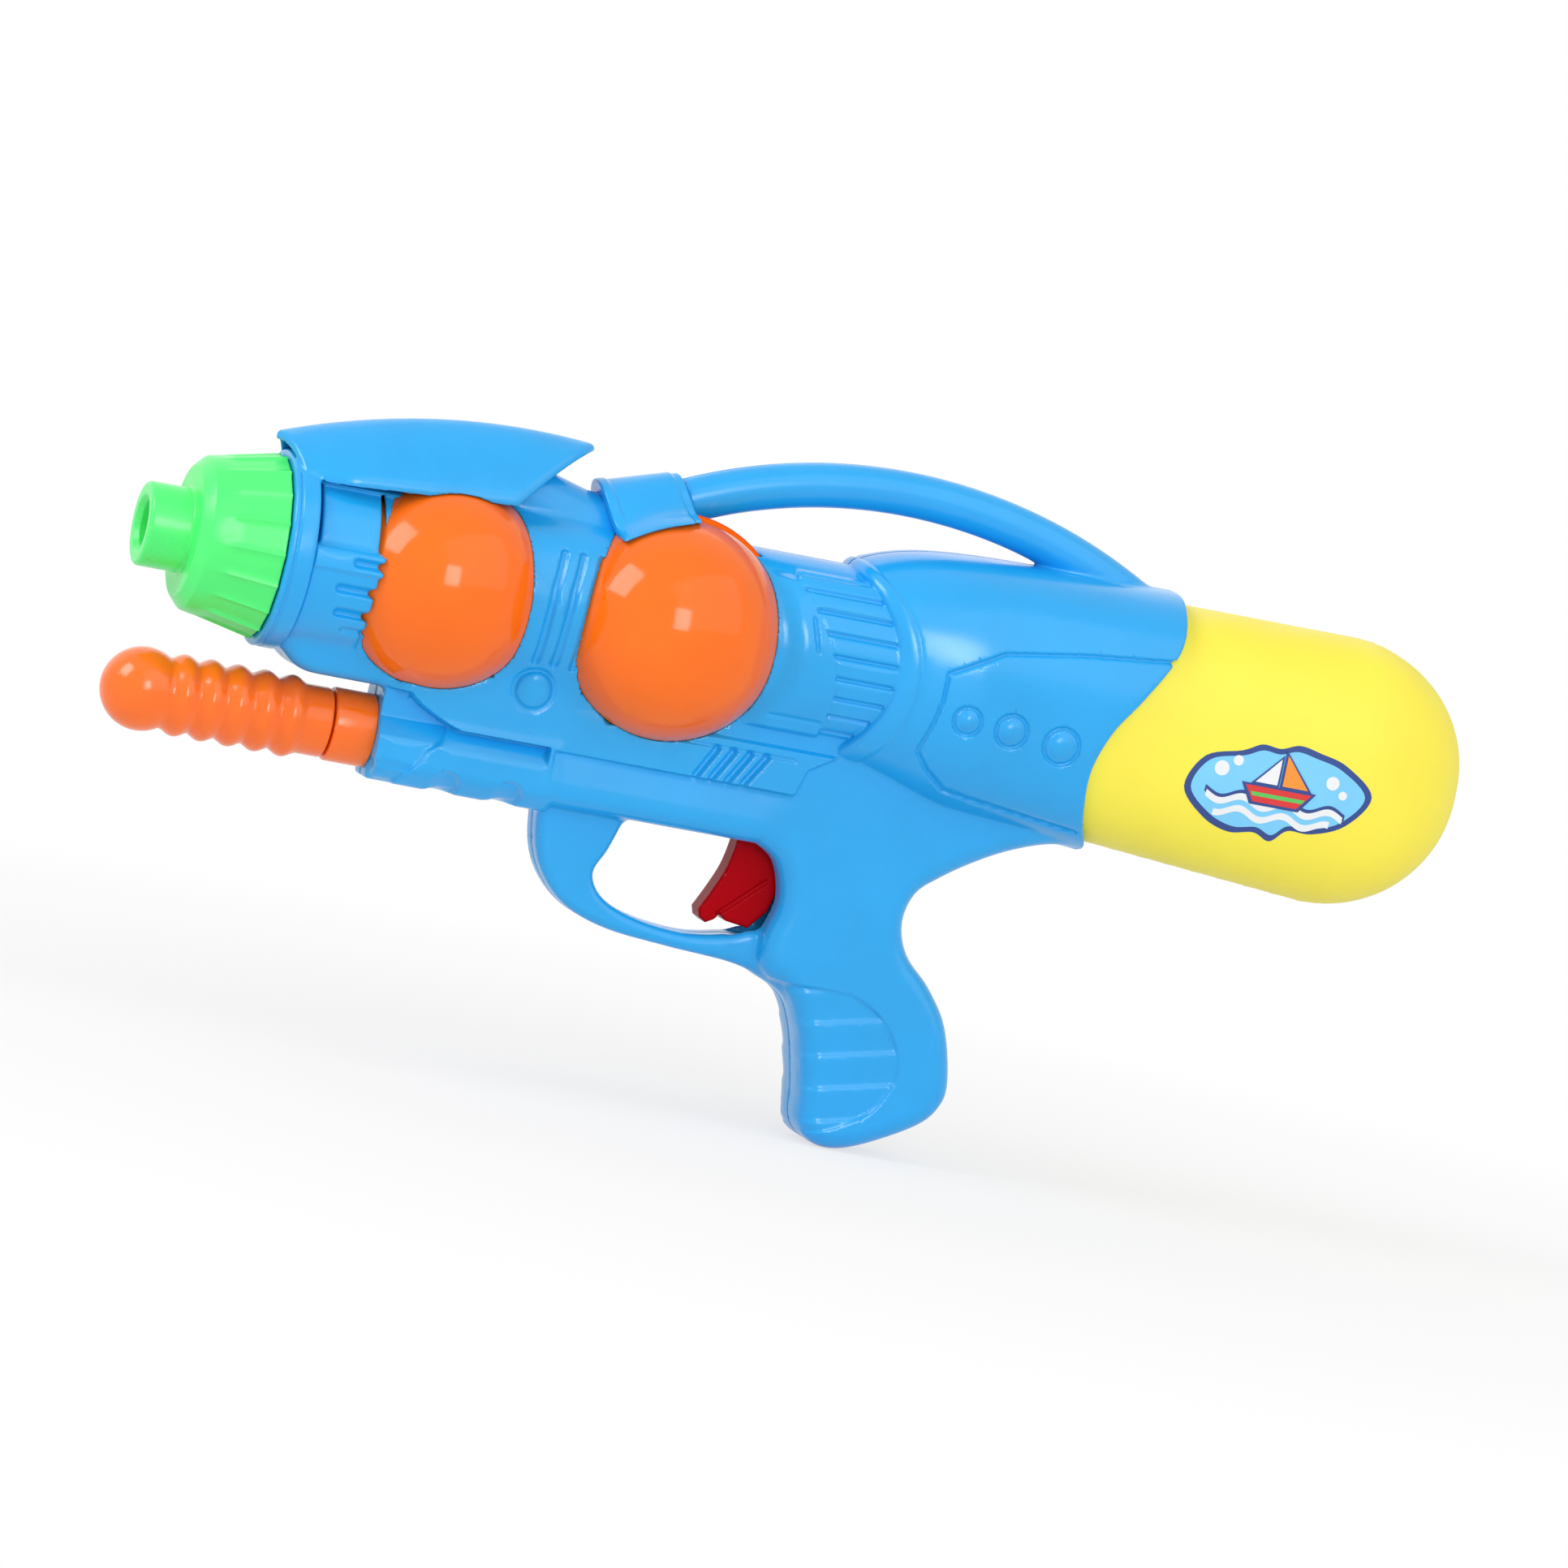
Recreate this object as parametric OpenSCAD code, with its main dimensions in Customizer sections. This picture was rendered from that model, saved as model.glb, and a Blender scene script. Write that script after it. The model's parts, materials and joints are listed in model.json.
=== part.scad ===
// Toy water squirter, held like a pistol. Two moulded halves carry a tank, a hand pump,
// a trigger valve and the tubes between them.
// Sizes count from the nozzle's face (X = 0, rearward positive) and from the barrel's axis (Z = 0),
// and the left side faces -Y. Each piece is then moved so that the origin lies under the middle
// of the toy, level with the foot of its grip.

/* [Barrel] */
// Radius of the round barrel
barrel_r = 22.4; // [21.6:0.1:23.2]
// How far the front sleeve stands out from the barrel
sleeve_step = 1.6; // [1.2:0.1:2.4]
// Where the front sleeve ends behind the nozzle's face
sleeve_end = 56; // [54.5:0.5:57]
// Wall of the moulded halves
wall = 2.2; // [1.8:0.1:2.6]
// Depth of the keel under the front sleeve, from the barrel's axis
keel_low = 28; // [27:0.5:29]

/* [Muzzle hood] */
// Length of the muzzle ring
ring_len = 6.6; // [5.6:0.1:8]
// How far the muzzle ring stands out from the sleeve
ring_step = 0.5; // [0.3:0.1:1]
// Height of the fin's ridge at its highest
fin_top = 40.4; // [38:0.1:42]
// How much lower the ridge is at its front tip
fin_rise = 12; // [9:0.1:13]
// Half the width of the fin at its lower edges
fin_half_w = 17; // [15:0.1:19]
// Wall of the fin
fin_wall = 2.2; // [1.6:0.1:2.8]
// Where the fin's tail ends behind the nozzle's face
fin_tail = 109; // [104:0.5:110]

/* [Nozzle] */
// Radius of the nozzle's tip
tip_r = 10.5; // [9:0.1:12]
// Length of the nozzle's tip
tip_len = 11; // [9:0.1:13]
// Radius of the mouth in the tip
mouth_r = 6; // [4:0.1:7.5]
// Radius of the jet hole behind the mouth
jet_r = 1.2; // [0.8:0.1:1.6]
// Radius of the cone at its front
cone_front_r = 18.7; // [16:0.1:20]
// Radius of the cone at its base
cone_base_r = 23.2; // [21:0.1:23.8]
// Length of the cone
cone_len = 21; // [18:0.1:24]
// Wall of the nozzle cap
cap_wall = 2.4; // [1.8:0.1:3]
// Number of finger flutes round the cone
flutes = 18; // [12:1:24]
// Depth of a flute
flute_depth = 0.6; // [0.3:0.1:1]
// Radius of the spout that the cap turns on
spout_r = 8; // [7:0.1:9]

/* [Domes] */
// Front dome: place along the barrel
front_dome_x = 75.5; // [74.5:0.1:76.5]
// Front dome: outer radius
front_dome_r = 26.2; // [25.4:0.1:26.6]
// Front dome: distance of its base from the mid-plane
front_dome_y = 4.6; // [4.4:0.1:5]
// Rear dome: place along the barrel
rear_dome_x = 134; // [133:0.1:135]
// Rear dome: outer radius
rear_dome_r = 27.9; // [27:0.1:28.2]
// Rear dome: distance of its base from the mid-plane
rear_dome_y = 8; // [7:0.1:8.6]
// How far the domes sit below the barrel's axis
dome_drop = 1; // [0:0.1:2]
// Wall of a dome
dome_wall = 1.8; // [1.2:0.1:2.4]
// Width of a dome's rim
rim_w = 1; // [0.6:0.1:1.4]
// Thickness of a dome's rim
rim_t = 1.6; // [1.2:0.1:1.8]

/* [Frame and grip] */
// Half the thickness of the lower frame
frame_half_w = 13; // [12:0.1:14]
// Depth of the frame's underside, from the barrel's axis
frame_low = 49.2; // [48.8:0.1:49.8]
// Half the thickness of the grip
grip_half_w = 13.5; // [12.5:0.1:15]
// Rounding of the frame's and the grip's edges
edge_r = 5; // [3:0.1:6]
// Length of the grip under the trigger guard
grip_len = 39.8; // [36:0.1:46]
// Half the thickness of the trigger guard
guard_half_w = 6.5; // [5.6:0.1:8]
// Radius of the round boss on the frame's sides
button_r = 4.4; // [3.4:0.1:5]

/* [Carry handle] */
// Radius of the handle's tube
tube_r = 5.6; // [5:0.1:6.2]
// Wall of the handle's tube
tube_wall = 2; // [1.6:0.1:2.4]
// Radius of the handle's arch
arch_r = 133; // [130:0.5:137]
// Place of the arch's highest point along the barrel
arch_x = 189; // [188:0.5:190]
// Height of the arch's centre line at its highest
arch_z = 42.2; // [41.6:0.1:43]
// Where the arch turns into the straight front of the handle
arch_front = 134; // [132.5:0.5:135.5]
// Length of the collar on the handle
collar_len = 19.4; // [17:0.1:21]
// Wall of the collar
collar_wall = 2; // [1.4:0.1:2.6]
// Radius of the handle's root on the barrel
root_r = 8.4; // [7.6:0.1:9]

/* [Tank] */
// Height of the tank's top above the barrel's axis
tank_top = 28; // [27:0.1:29]
// Depth of the tank's underside where it leaves the shroud
tank_low = 34.2; // [33.4:0.1:35]
// How much lower the underside gets towards the rear
tank_sag = 5; // [3:0.1:6]
// Half the width of the tank
tank_half_w = 27; // [25.5:0.1:28.5]
// Rear end of the tank behind the nozzle's face
tank_end = 344; // [330:0.5:360]
// Length of the tank's rounded end
tank_round = 34; // [28:0.5:38]
// Wall of the tank
tank_wall = 1.6; // [1.2:0.1:2.2]
// Gap between the tank and the shroud
tank_gap = 0.4; // [0.3:0.05:0.6]
// Radius of the filling hole
filler_r = 6.5; // [5.5:0.1:7.5]
// Place of the filling hole along the barrel
filler_x = 290; // [285:0.5:295]
// Radius of the hole in the tank's neck
neck_bore_r = 7; // [6.6:0.1:7.4]

/* [Pump] */
// Depth of the pump's axis under the barrel's axis
pump_drop = 40; // [39.6:0.1:40.4]
// Travel of the pump handle
pump_stroke = 45; // [30:1:48]
// Outer radius of the pump cylinder
cylinder_r = 7.6; // [7.2:0.1:7.8]
// Bore of the pump cylinder
bore_r = 6.2; // [5.8:0.1:6.4]
// Radius of the pump rod
rod_r = 3.2; // [2.8:0.1:3.6]
// Radius of the ball on the pump handle
ball_r = 10.4; // [9.6:0.1:11]
// Radius of the pump handle's ribs
rib_r = 10.2; // [9.7:0.1:10.8]
// Distance from rib to rib
rib_pitch = 6.85; // [6.5:0.05:7]
// Number of ribs
ribs = 5; // [3:1:5]
// Radius of the grooves between the ribs and of the handle's neck
neck_r = 8.6; // [8:0.1:9]
// Radius of the fixed collar
pump_collar_r = 9.2; // [8.8:0.1:10]
// Length of the fixed collar
pump_collar_len = 10.5; // [9.5:0.1:11.5]
// Half the width of the pump housing
housing_half_w = 13.8; // [13.2:0.1:15]
// Half the height of the pump housing
housing_half_h = 11.2; // [10.8:0.1:11.4]

/* [Trigger and valve] */
// Half the thickness of the trigger
trigger_half_w = 4.2; // [3.6:0.1:4.6]
// Radius of the trigger's pin
pin_r = 1.5; // [1.2:0.1:2]
// Radius of the trigger's hub
hub_r = 5; // [4.6:0.1:5.4]
// How far the trigger swings
trigger_swing = 12; // [6:1:12]
// Depth of the valve's axis under the barrel's axis
valve_drop = 56.5; // [56:0.1:57]
// Radius of the valve body
valve_r = 7.4; // [7:0.1:7.6]
// Radius of the valve stem
stem_r = 2.2; // [1.8:0.1:2.4]

/* [Tubes] */
// Outer radius of the tubes
hose_r = 2.3; // [2.1:0.1:2.4]
// Bore of the tubes
hose_bore_r = 1.6; // [1.4:0.1:1.7]

/* [Screws] */
// Radius of the screws
screw_r = 1.5; // [1.2:0.1:1.6]
// Radius of the screw heads
screw_head_r = 2.9; // [2.4:0.1:3.2]
// Height of the screw heads
screw_head_h = 2.2; // [1.6:0.1:2.6]
// Radius of the screw posts
post_r = 3.9; // [3.6:0.1:4.2]

/* [Clearances] */
// Gap of a part that turns or slides in a bore
slide_gap = 0.08; // [0.04:0.01:0.1]
// Gap between parts that are only put together
part_gap = 0.3; // [0.2:0.05:0.4]

/* [Hidden] */
$fn = 64;

blue = [0.21, 0.66, 0.97];
orange = [1, 0.47, 0.16];
green = [0.36, 0.97, 0.5];
red = [0.68, 0.1, 0.13];
yellow = [1, 0.93, 0.31];
white = [0.92, 0.92, 0.9];
black = [0.12, 0.12, 0.13];
clear = [0.85, 0.88, 0.86];
steel = [0.72, 0.73, 0.75];

// Muzzle
sleeve_r = barrel_r + sleeve_step;
ring_r = sleeve_r + ring_step;
cone_end = tip_len + cone_len;
ring_x = cone_end + part_gap;
sleeve_x = ring_x + ring_len;
ring_wall = 2;
dome_back = 1.4;
spigot_r = sleeve_r - 2;
spout_x = tip_len + cap_wall;
washer_t = 0.5;
flange_x = ring_x + ring_wall;
flange_t = 2.6;
front_wall_x = flange_x + flange_t + part_gap;
front_wall_t = 2.6;
jet_barb_x = front_wall_x + front_wall_t + 3;
seat_gap = 0.1;
press_gap = 0.02;
barb_len = 5;
barb_gap = 0.15;
hose_sides = 8;
barb_r = hose_bore_r * cos(180 / hose_sides) - barb_gap;
barb_bore_r = 0.8;

// Shroud and tank: the shroud wraps the tank's front with a gap and a wall
tank_x = 206;
shroud_x = 176;
shroud_full_x = 214;
shroud_back_x = 250;
shroud_end_x = 266;
rim_arc_r = 32.3;
rim_arc_x = 193.6;
rim_arc_z = -3;
squareness = 2.4;
neck_z = -4;
neck_x = tank_x - 8;
neck_wall = 2.5;
filler_wall = 2.5;
filler_z = 2;
filler_len = 8;
filler_face = tank_half_w + 1.2;
plug_head_t = 2.6;
seal_t = 1.4;
seal_groove = 0.9;

// Frame, guard and grip
frame_x = 68;
frame_top = -10;
guard_low = 80.8;
cavity_inset = wall + 1.4;
housing_x = cone_end + part_gap + ring_len + 27.6;
housing_end_x = 113;
housing_chamfer = 5;
housing_wall_t = 3.5;
button_x = 100.6;
button_z = -21.5;
button_t = 1.6;

// Carry handle: an arch, then a straight front along its tangent
arch_slope = asin((arch_x - arch_front) / arch_r);
arch_mid_z = arch_z - arch_r;
arch_front_z = arch_mid_z + arch_r * cos(arch_slope);
arch_rear_x = shroud_back_x + 5.5;
arch_rear_angle = acos((arch_rear_x - arch_x) / arch_r);
root_len = 24;
handle_step = 0.3;

// Pump
pump_z = -pump_drop;
collar_x = housing_x - pump_collar_len;
handle_end_x = collar_x - 0.4;
ball_x = handle_end_x - 47;
rib_x = handle_end_x - 37.5;
socket_len = 13;
cylinder_end_x = 128;
cylinder_wall_t = 3;
piston_t = 6;
piston_x = cylinder_end_x - cylinder_wall_t - piston_t - 2;
seal_ring_r = 0.9;
check_x = cylinder_end_x + 1;
check_r = 5.5;
check_chamber_r = 3.2;
check_chamber_x = check_x + barb_len + 1.5;
check_end_x = check_chamber_x + 9.5;
check_cap_t = 2.4;
check_ball_r = 2.5;
check_seat_r = 1.2;
cradle_x = 117;
cradle_t = 3;

// Trigger and valve
pivot = [168.5, -44.5];
pin_reach = frame_half_w - wall;
slot_end_x = 184;
slot_low = 73;
slot_front_x = 161.5;
slot_gap = 0.4;
trigger_back_x = 176.1;
valve_x = slot_end_x + 0.5;
valve_seat_x = valve_x + 7.5;
valve_end_x = valve_x + 17.5;
valve_cap_t = 2;
valve_gland_len = 4;
outlet_r = 3.6;
chamber_r = 5.2;
valve_seal_t = 1;
stem_head_t = 1.8;
stem_head_r = 4.4;
outlet_x = valve_x + 5.7;
inlet_x = valve_x + 14.5;
port_len = 5;
valve_cradle_x = valve_x + 9;
valve_cradle_t = 2;

// Springs
wire_r = 0.35;
valve_coils = 4;
valve_coil_r = 3.2;
check_coils = 2;
check_coil_r = 2.2;
coil_steps = 8;
wire_sides = 6;

// Screws: places on the side view, all with the same depth
post_places = [
    [46.5, -14], [104, 12], [104.5, -28], [150, -29.5], [168, 8], [197, 16], [196, -75], [206, -108]
];
screw_seat = 6.5;
screw_len = 15.5;
screw_tip_room = 0.5;
far = 80;

// Tube routes, chosen by hand from barb to barb
fitting_x = neck_x - 3.6;
barb_y = 5.3;
air_route = [
    [check_end_x + check_cap_t + 1, 0, pump_z], [check_end_x + check_cap_t + barb_len + 0.2, 0, pump_z],
    [156, 0.8, -39.6], [160, 3.2, -37], [164, 5.3, -33.4], [171.5, 5.6, -26], [177, 5.6, -15],
    [181, 5.4, -7], [184.5, barb_y, neck_z], [fitting_x - barb_len - 1, barb_y, neck_z],
    [fitting_x - 1, barb_y, neck_z]
];
feed_route = [
    [fitting_x - 1, -barb_y, neck_z], [fitting_x - barb_len - 1, -barb_y, neck_z],
    [184, -barb_y, neck_z], [179.5, -5.5, -8], [178, -5.6, -18],
    [184, -5.6, -29], [192, -4.6, -36], [197.6, -1.6, -40.4],
    [inlet_x, 0, -valve_drop + valve_r + port_len], [inlet_x, 0, -valve_drop + valve_r + 1]
];
jet_route = [
    [outlet_x, 0, -valve_drop + valve_r + 1], [outlet_x, 0, -valve_drop + valve_r + port_len],
    [188.6, 0, -37], [183.5, 0, -30], [175, 0, -21], [163, 0, -12], [149, 0, -5], [134, 0, -1.5],
    [118, 0, -0.4], [98, 0, 0], [75, 0, 0], [60, 0, 0], [jet_barb_x + 1, 0, 0]
];
pickup_route = [
    [tank_x + 1, -3, neck_z], [tank_x + barb_len - 1, -3, neck_z], [tank_x + barb_len + 2, -3, neck_z],
    [218, -3, -6.4], [225, -3, -11.2], [236, -3, -19], [248, -3, -27.4],
    [256, -3, -tank_low + tank_wall + hose_r + 1]
];

// Plain geometry helpers

function mix(a, b, t) = a + (b - a) * t;

function clamp01(t) = min(1, max(0, t));

function smooth(t) = let (s = clamp01(t)) s * s * (3 - 2 * s);

function unit(v) = v / norm(v);

function signed_power(v, e) = sign(v) * pow(abs(v), e);

// One point of a smooth curve between b and c, with a and d as its neighbours
function curve_point(a, b, c, d, t) =
    b + (c - a) * t / 2
    + (2 * a - 5 * b + 4 * c - d) * t * t / 2
    + (3 * b - a - 3 * c + d) * t * t * t / 2;

// A smooth curve through points, with the given steps between two of them
function curve(points, steps) = [
    for (i = [0:len(points) - 2])
        for (k = [0:steps - 1])
            curve_point(
                points[max(i - 1, 0)], points[i], points[i + 1],
                points[min(i + 2, len(points) - 1)], k / steps
            ),
    points[len(points) - 1]
];

// An anticlockwise outline moved inwards by d
function inset(outline, d) = [
    for (i = [0:len(outline) - 1])
        let (
            n = len(outline),
            before = unit(outline[i] - outline[(i + n - 1) % n]),
            after = unit(outline[(i + 1) % n] - outline[i]),
            inward = unit([-before[1] - after[1], before[0] + after[0]]),
            turn = max(0.5, inward * [-before[1], before[0]])
        )
        outline[i] + inward * d / turn
];

// A closed skin over rings of as many points each, flat at both ends
module skin(rings) {
    n = len(rings[0]);
    first_end = [for (j = [0:n - 1]) j];
    last_end = [for (j = [n - 1:-1:0]) (len(rings) - 1) * n + j];
    polyhedron([for (ring = rings) each ring], concat(side_faces(rings), [first_end, last_end]));
}

function side_faces(rings) = [
    for (i = [0:len(rings) - 2])
        for (j = [0:len(rings[0]) - 1])
            let (n = len(rings[0]), k = (j + 1) % n, a = i * n, b = (i + 1) * n)
            each [[a + j, b + k, a + k], [a + j, b + j, b + k]]
];

// A thick sheet: in each ring the upper points run one way and the lower points run back
module sheet(rings) {
    n = len(rings[0]);
    last = (len(rings) - 1) * n;
    ends = [
        for (j = [0:n / 2 - 2])
            let (k = n - 1 - j)
            each [
                [j, j + 1, k], [j + 1, k - 1, k],
                [last + j, last + k, last + j + 1], [last + j + 1, last + k, last + k - 1]
            ]
    ];
    polyhedron([for (ring = rings) each ring], concat(side_faces(rings), ends));
}

// A plate across the mid-plane with the given outline and rounded edges: a flat core, and round it
// a closed band whose section is the rounded edge
module rounded_plate(outline, half_w, r, steps) {
    n = len(outline);
    band_overlap = 1.5;
    depths = [for (k = [-steps:steps]) r * (1 - cos(90 * k / steps))];
    widths = [for (k = [-steps:steps]) sign(k) * (half_w - r) + r * sin(90 * k / steps)];
    rings = [for (d = depths) inset(outline, d)];
    core = inset(outline, r);
    inner = inset(outline, r + band_overlap);
    flat_plate(core, half_w);
    closed_skin([
        for (i = [0:n - 1])
            concat(
                [for (k = [0:2 * steps]) if (k < steps) [rings[k][i][0], widths[k], rings[k][i][1]]],
                [[outline[i][0], r - half_w, outline[i][1]], [outline[i][0], half_w - r, outline[i][1]]],
                [for (k = [0:2 * steps]) if (k > steps) [rings[k][i][0], widths[k], rings[k][i][1]]],
                [[inner[i][0], half_w - r, inner[i][1]], [inner[i][0], r - half_w, inner[i][1]]]
            )
    ]);
}

module flat_plate(outline, half_w) {
    translate([0, half_w, 0])
        rotate([90, 0, 0])
            linear_extrude(2 * half_w)
                polygon(outline);
}

// A round bar along the toy
module bar(x0, x1, r, z = 0, y = 0) {
    translate([x0, y, z])
        rotate([0, 90, 0])
            cylinder(h = x1 - x0, r = r);
}

// A round bar across the toy
module cross_bar(x, z, r, y0, y1) {
    translate([x, y0, z])
        rotate([-90, 0, 0])
            cylinder(h = y1 - y0, r = r);
}

// A turned piece along the toy, from points of place and radius
module turned(profile, z = 0) {
    translate([0, 0, z])
        rotate([0, 90, 0])
            rotate_extrude()
                polygon([for (p = profile) [p[1], p[0]]]);
}

// A straight piece along the toy with the given section
module prism(section, x0, x1) {
    translate([x0, 0, 0])
        rotate([90, 0, 90])
            linear_extrude(x1 - x0)
                polygon(section);
}

// A hollow tube along a route, as rings outside and inside
module hose(route, r, bore) {
    path = curve(route, 3);
    n = len(path);
    outside = [for (i = [0:n - 1]) tube_ring(path, i, r)];
    inside = [for (i = [n - 1:-1:0]) tube_ring(path, i, bore)];
    closed_skin(concat(outside, inside));
}

function along(path, i) = unit(path[min(i + 1, len(path) - 1)] - path[max(i - 1, 0)]);

// Routes stay out of the Y direction, so Y gives each ring its sideways
function tube_ring(path, i, r) =
    let (
        t = along(path, i),
        side = unit([0, 1, 0] - t * t[1]),
        up = cross(t, side)
    )
    [
        for (j = [0:hose_sides - 1])
            let (a = 360 * (j + 0.5) / hose_sides)
            path[i] + r * (side * cos(a) + up * sin(a))
    ];

// A skin over rings whose last ring joins the first
module closed_skin(rings) {
    n = len(rings[0]);
    m = len(rings);
    faces = [
        for (i = [0:m - 1])
            for (j = [0:n - 1])
                let (k = (j + 1) % n, a = i * n, b = ((i + 1) % m) * n)
                each [[a + j, b + k, a + k], [a + j, b + j, b + k]]
    ];
    polyhedron([for (ring = rings) each ring], faces);
}

// A coil spring along the toy, as one unbroken wire
module coil(x0, x1, coils, r, z) {
    steps = coils * coil_steps;
    path = [
        for (i = [0:steps])
            let (a = 360 * i / coil_steps)
            [mix(x0 + wire_r, x1 - wire_r, i / steps), r * cos(a), z + r * sin(a)]
    ];
    skin([for (i = [0:steps]) wire_ring(path, i, z)]);
}

// Outward from the spring's axis gives each ring of its wire a direction
function wire_ring(path, i, z) =
    let (
        p = path[i],
        t = along(path, i),
        outward = unit([0, p[1], p[2] - z]),
        side = unit(outward - t * (t * outward)),
        up = cross(t, side)
    )
    [for (j = [0:wire_sides - 1]) let (a = 360 * j / wire_sides) p + wire_r * (side * cos(a) + up * sin(a))];

module placed() {
    translate([-(ball_x - ball_r + tank_end) / 2, 0, guard_low + grip_len])
        children();
}

// Outlines on the side view

function grip_z(share) = -guard_low - share * grip_len;

frame_outline = concat(
    [[frame_x, frame_top], [frame_x, -frame_low], [slot_front_x, -frame_low]],
    curve([
        [167, -frame_low], [172.6, -53], [175.4, -61.8], [173.6, -70.5], [173.4, -77], [176, grip_z(0)],
        [181.4, grip_z(0.07)], [186.7, grip_z(0.3)], [190.3, grip_z(0.65)], [191.5, grip_z(0.86)],
        [195.2, grip_z(0.97)], [201.4, grip_z(1)], [209.6, grip_z(0.935)], [221.9, grip_z(0.765)],
        [226.8, grip_z(0.62)], [227.6, grip_z(0.45)], [224, grip_z(0.125)],
        [217.8, -76.8], [210.6, -69.8], [207.7, -62], [209.4, -54.4], [215, -49.2], [227, -42.2], [239, -37.4]
    ], 2),
    [[241, -24], [232, frame_top]]
);

guard_outline = concat(
    curve([
        [111.2, -48], [112.6, -58.8], [116.3, -66.8], [123.6, -73.4], [135, -77.2], [151.5, -78.8],
        [170, -80.2], [184, -85]
    ], 2),
    curve([
        [184, -76], [173, -71], [166, -72.9], [155.7, -74.6], [143.2, -73.6], [133, -70.2], [128.7, -64.4],
        [131.2, -57.8], [133.4, -50.5], [133.5, -46]
    ], 2)
);

trigger_outline = concat(
    curve([[163.4, -46], [163.4, -50.4], [162.2, -56.8], [159.8, -62.8], [157.2, -68.2]], 3),
    [[157.8, -70.2], [159.6, -71.3], [161.6, -70.2], [162.8, -68.8], [164.6, -70], [170.6, -70.8]],
    curve([[174.6, -66], [trigger_back_x, -60], [trigger_back_x, -52], [173.4, -46]], 3)
);

slot_outline = [
    [slot_front_x, -45], [slot_front_x, -60], [165, -slot_low], [slot_end_x - 3, -slot_low],
    [slot_end_x, -slot_low + 5], [slot_end_x, -45]
];

keel_outline = [
    [sleeve_x, -15], [sleeve_x, -sleeve_r + 1], [sleeve_x + 7, -keel_low], [housing_x + 2, -keel_low],
    [housing_x + 2, -15]
];

housing_section = let (w = housing_half_w, h = housing_half_h, c = housing_chamfer) [
    [-w, c - h], [c - w, -h], [w - c, -h], [w, c - h], [w, h - c], [w - c, h], [c - w, h], [-w, h - c]
];

// Rear edge of the shroud and all behind it
shroud_back = concat(
    curve([
        [264, 40], [262, 29], [259.6, 18], [251.6, 5], [245, -5], [242, -16], [244.6, -28], [250, -36],
        [256, -46]
    ], 2),
    [[320, -46], [320, 40]]
);

// Sections of tank and shroud

// A squarish ring at x from its top, underside and half width
function section(x, top, low, half_w, count = 40) = [
    for (j = [0:count - 1])
        let (a = 360 * (j + 0.5) / count, e = 2 / squareness)
        [
            x, half_w * signed_power(cos(a), e),
            (top - low) / 2 + (top + low) / 2 * signed_power(sin(a), e)
        ]
];

// Underside of the tank, which falls towards the rear
function tank_low_at(x) = tank_low + tank_sag * (x - shroud_back_x) / (tank_end - tank_round - shroud_back_x);

// The tank's section at x, grown all round and drawn in at its ends
function tank_ring(x, grow, draw = 1, count = 40) =
    let (
        low = tank_low_at(min(x, tank_end - tank_round)),
        mid = (tank_top - low) / 2,
        h = (tank_top + low) / 2 * draw + grow
    )
    section(x, mid + h, h - mid, tank_half_w * draw + grow, count);

// The shroud blends from the barrel into the tank's section
function shroud_ring(x) =
    let (
        t = smooth((x - shroud_x) / (shroud_full_x - shroud_x)),
        g = tank_gap + wall
    )
    section(
        x, mix(barrel_r - 1, tank_top + g, t), mix(barrel_r + 4, tank_low_at(x) + g, t),
        mix(barrel_r + 1, tank_half_w + g, t), 32
    );

module tank_form(shrink, front_x, count) {
    rounded = tank_round - shrink;
    round_x = tank_end - tank_round;
    front = [for (t = [0:3]) let (a = 30 * t) [front_x + 8 * (1 - cos(a)), 1 - 0.22 * (1 - sin(a))]];
    rear = [for (t = [0:8]) let (a = 11 * t) [round_x + rounded * sin(a), cos(a)]];
    stations = concat(front, [[mix(front_x, round_x, 0.5), 1]], rear);
    skin([for (s = stations) tank_ring(s[0], -shrink * s[1], s[1], count)]);
}

module shroud() {
    difference() {
        skin([for (k = [0:9]) shroud_ring(mix(shroud_x, shroud_end_x, k / 9))]);
        cross_bar(rim_arc_x - rim_arc_r, rim_arc_z, rim_arc_r, -far, far);
        flat_plate(shroud_back, far);
    }
}

module tank_pocket() {
    stations = [[neck_x + 1, 0.8], [neck_x + 7, 0.94], [tank_x + 6, 1], [shroud_end_x + 4, 1]];
    skin([for (s = stations) tank_ring(s[0], tank_gap, s[1], 32)]);
}

// Carry handle along its straight front, with z running forwards and down from the arch's end
module on_handle_front() {
    translate([arch_front, 0, arch_front_z])
        rotate([0, -(90 + arch_slope), 0])
            children();
}

// The straight part is a little thinner than the arch, where the collar covers it
module handle_bar(r) {
    translate([arch_x, 0, arch_mid_z])
        rotate([90, 0, 0])
            rotate([0, 0, arch_rear_angle])
                rotate_extrude(angle = 90 + arch_slope - arch_rear_angle)
                    translate([arch_r, 0])
                        circle(r);
    on_handle_front()
        translate([0, 0, -1])
            cylinder(h = collar_len + 2, r = r - handle_step);
}

module handle_root() {
    on_handle_front()
        translate([0, 0, collar_len])
            cylinder(h = root_len, r = root_r);
}

// Moulded halves

module left_space() {
    translate([-far, -2 * far, -3 * far])
        cube([8 * far, 2 * far, 5 * far]);
}

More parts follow.
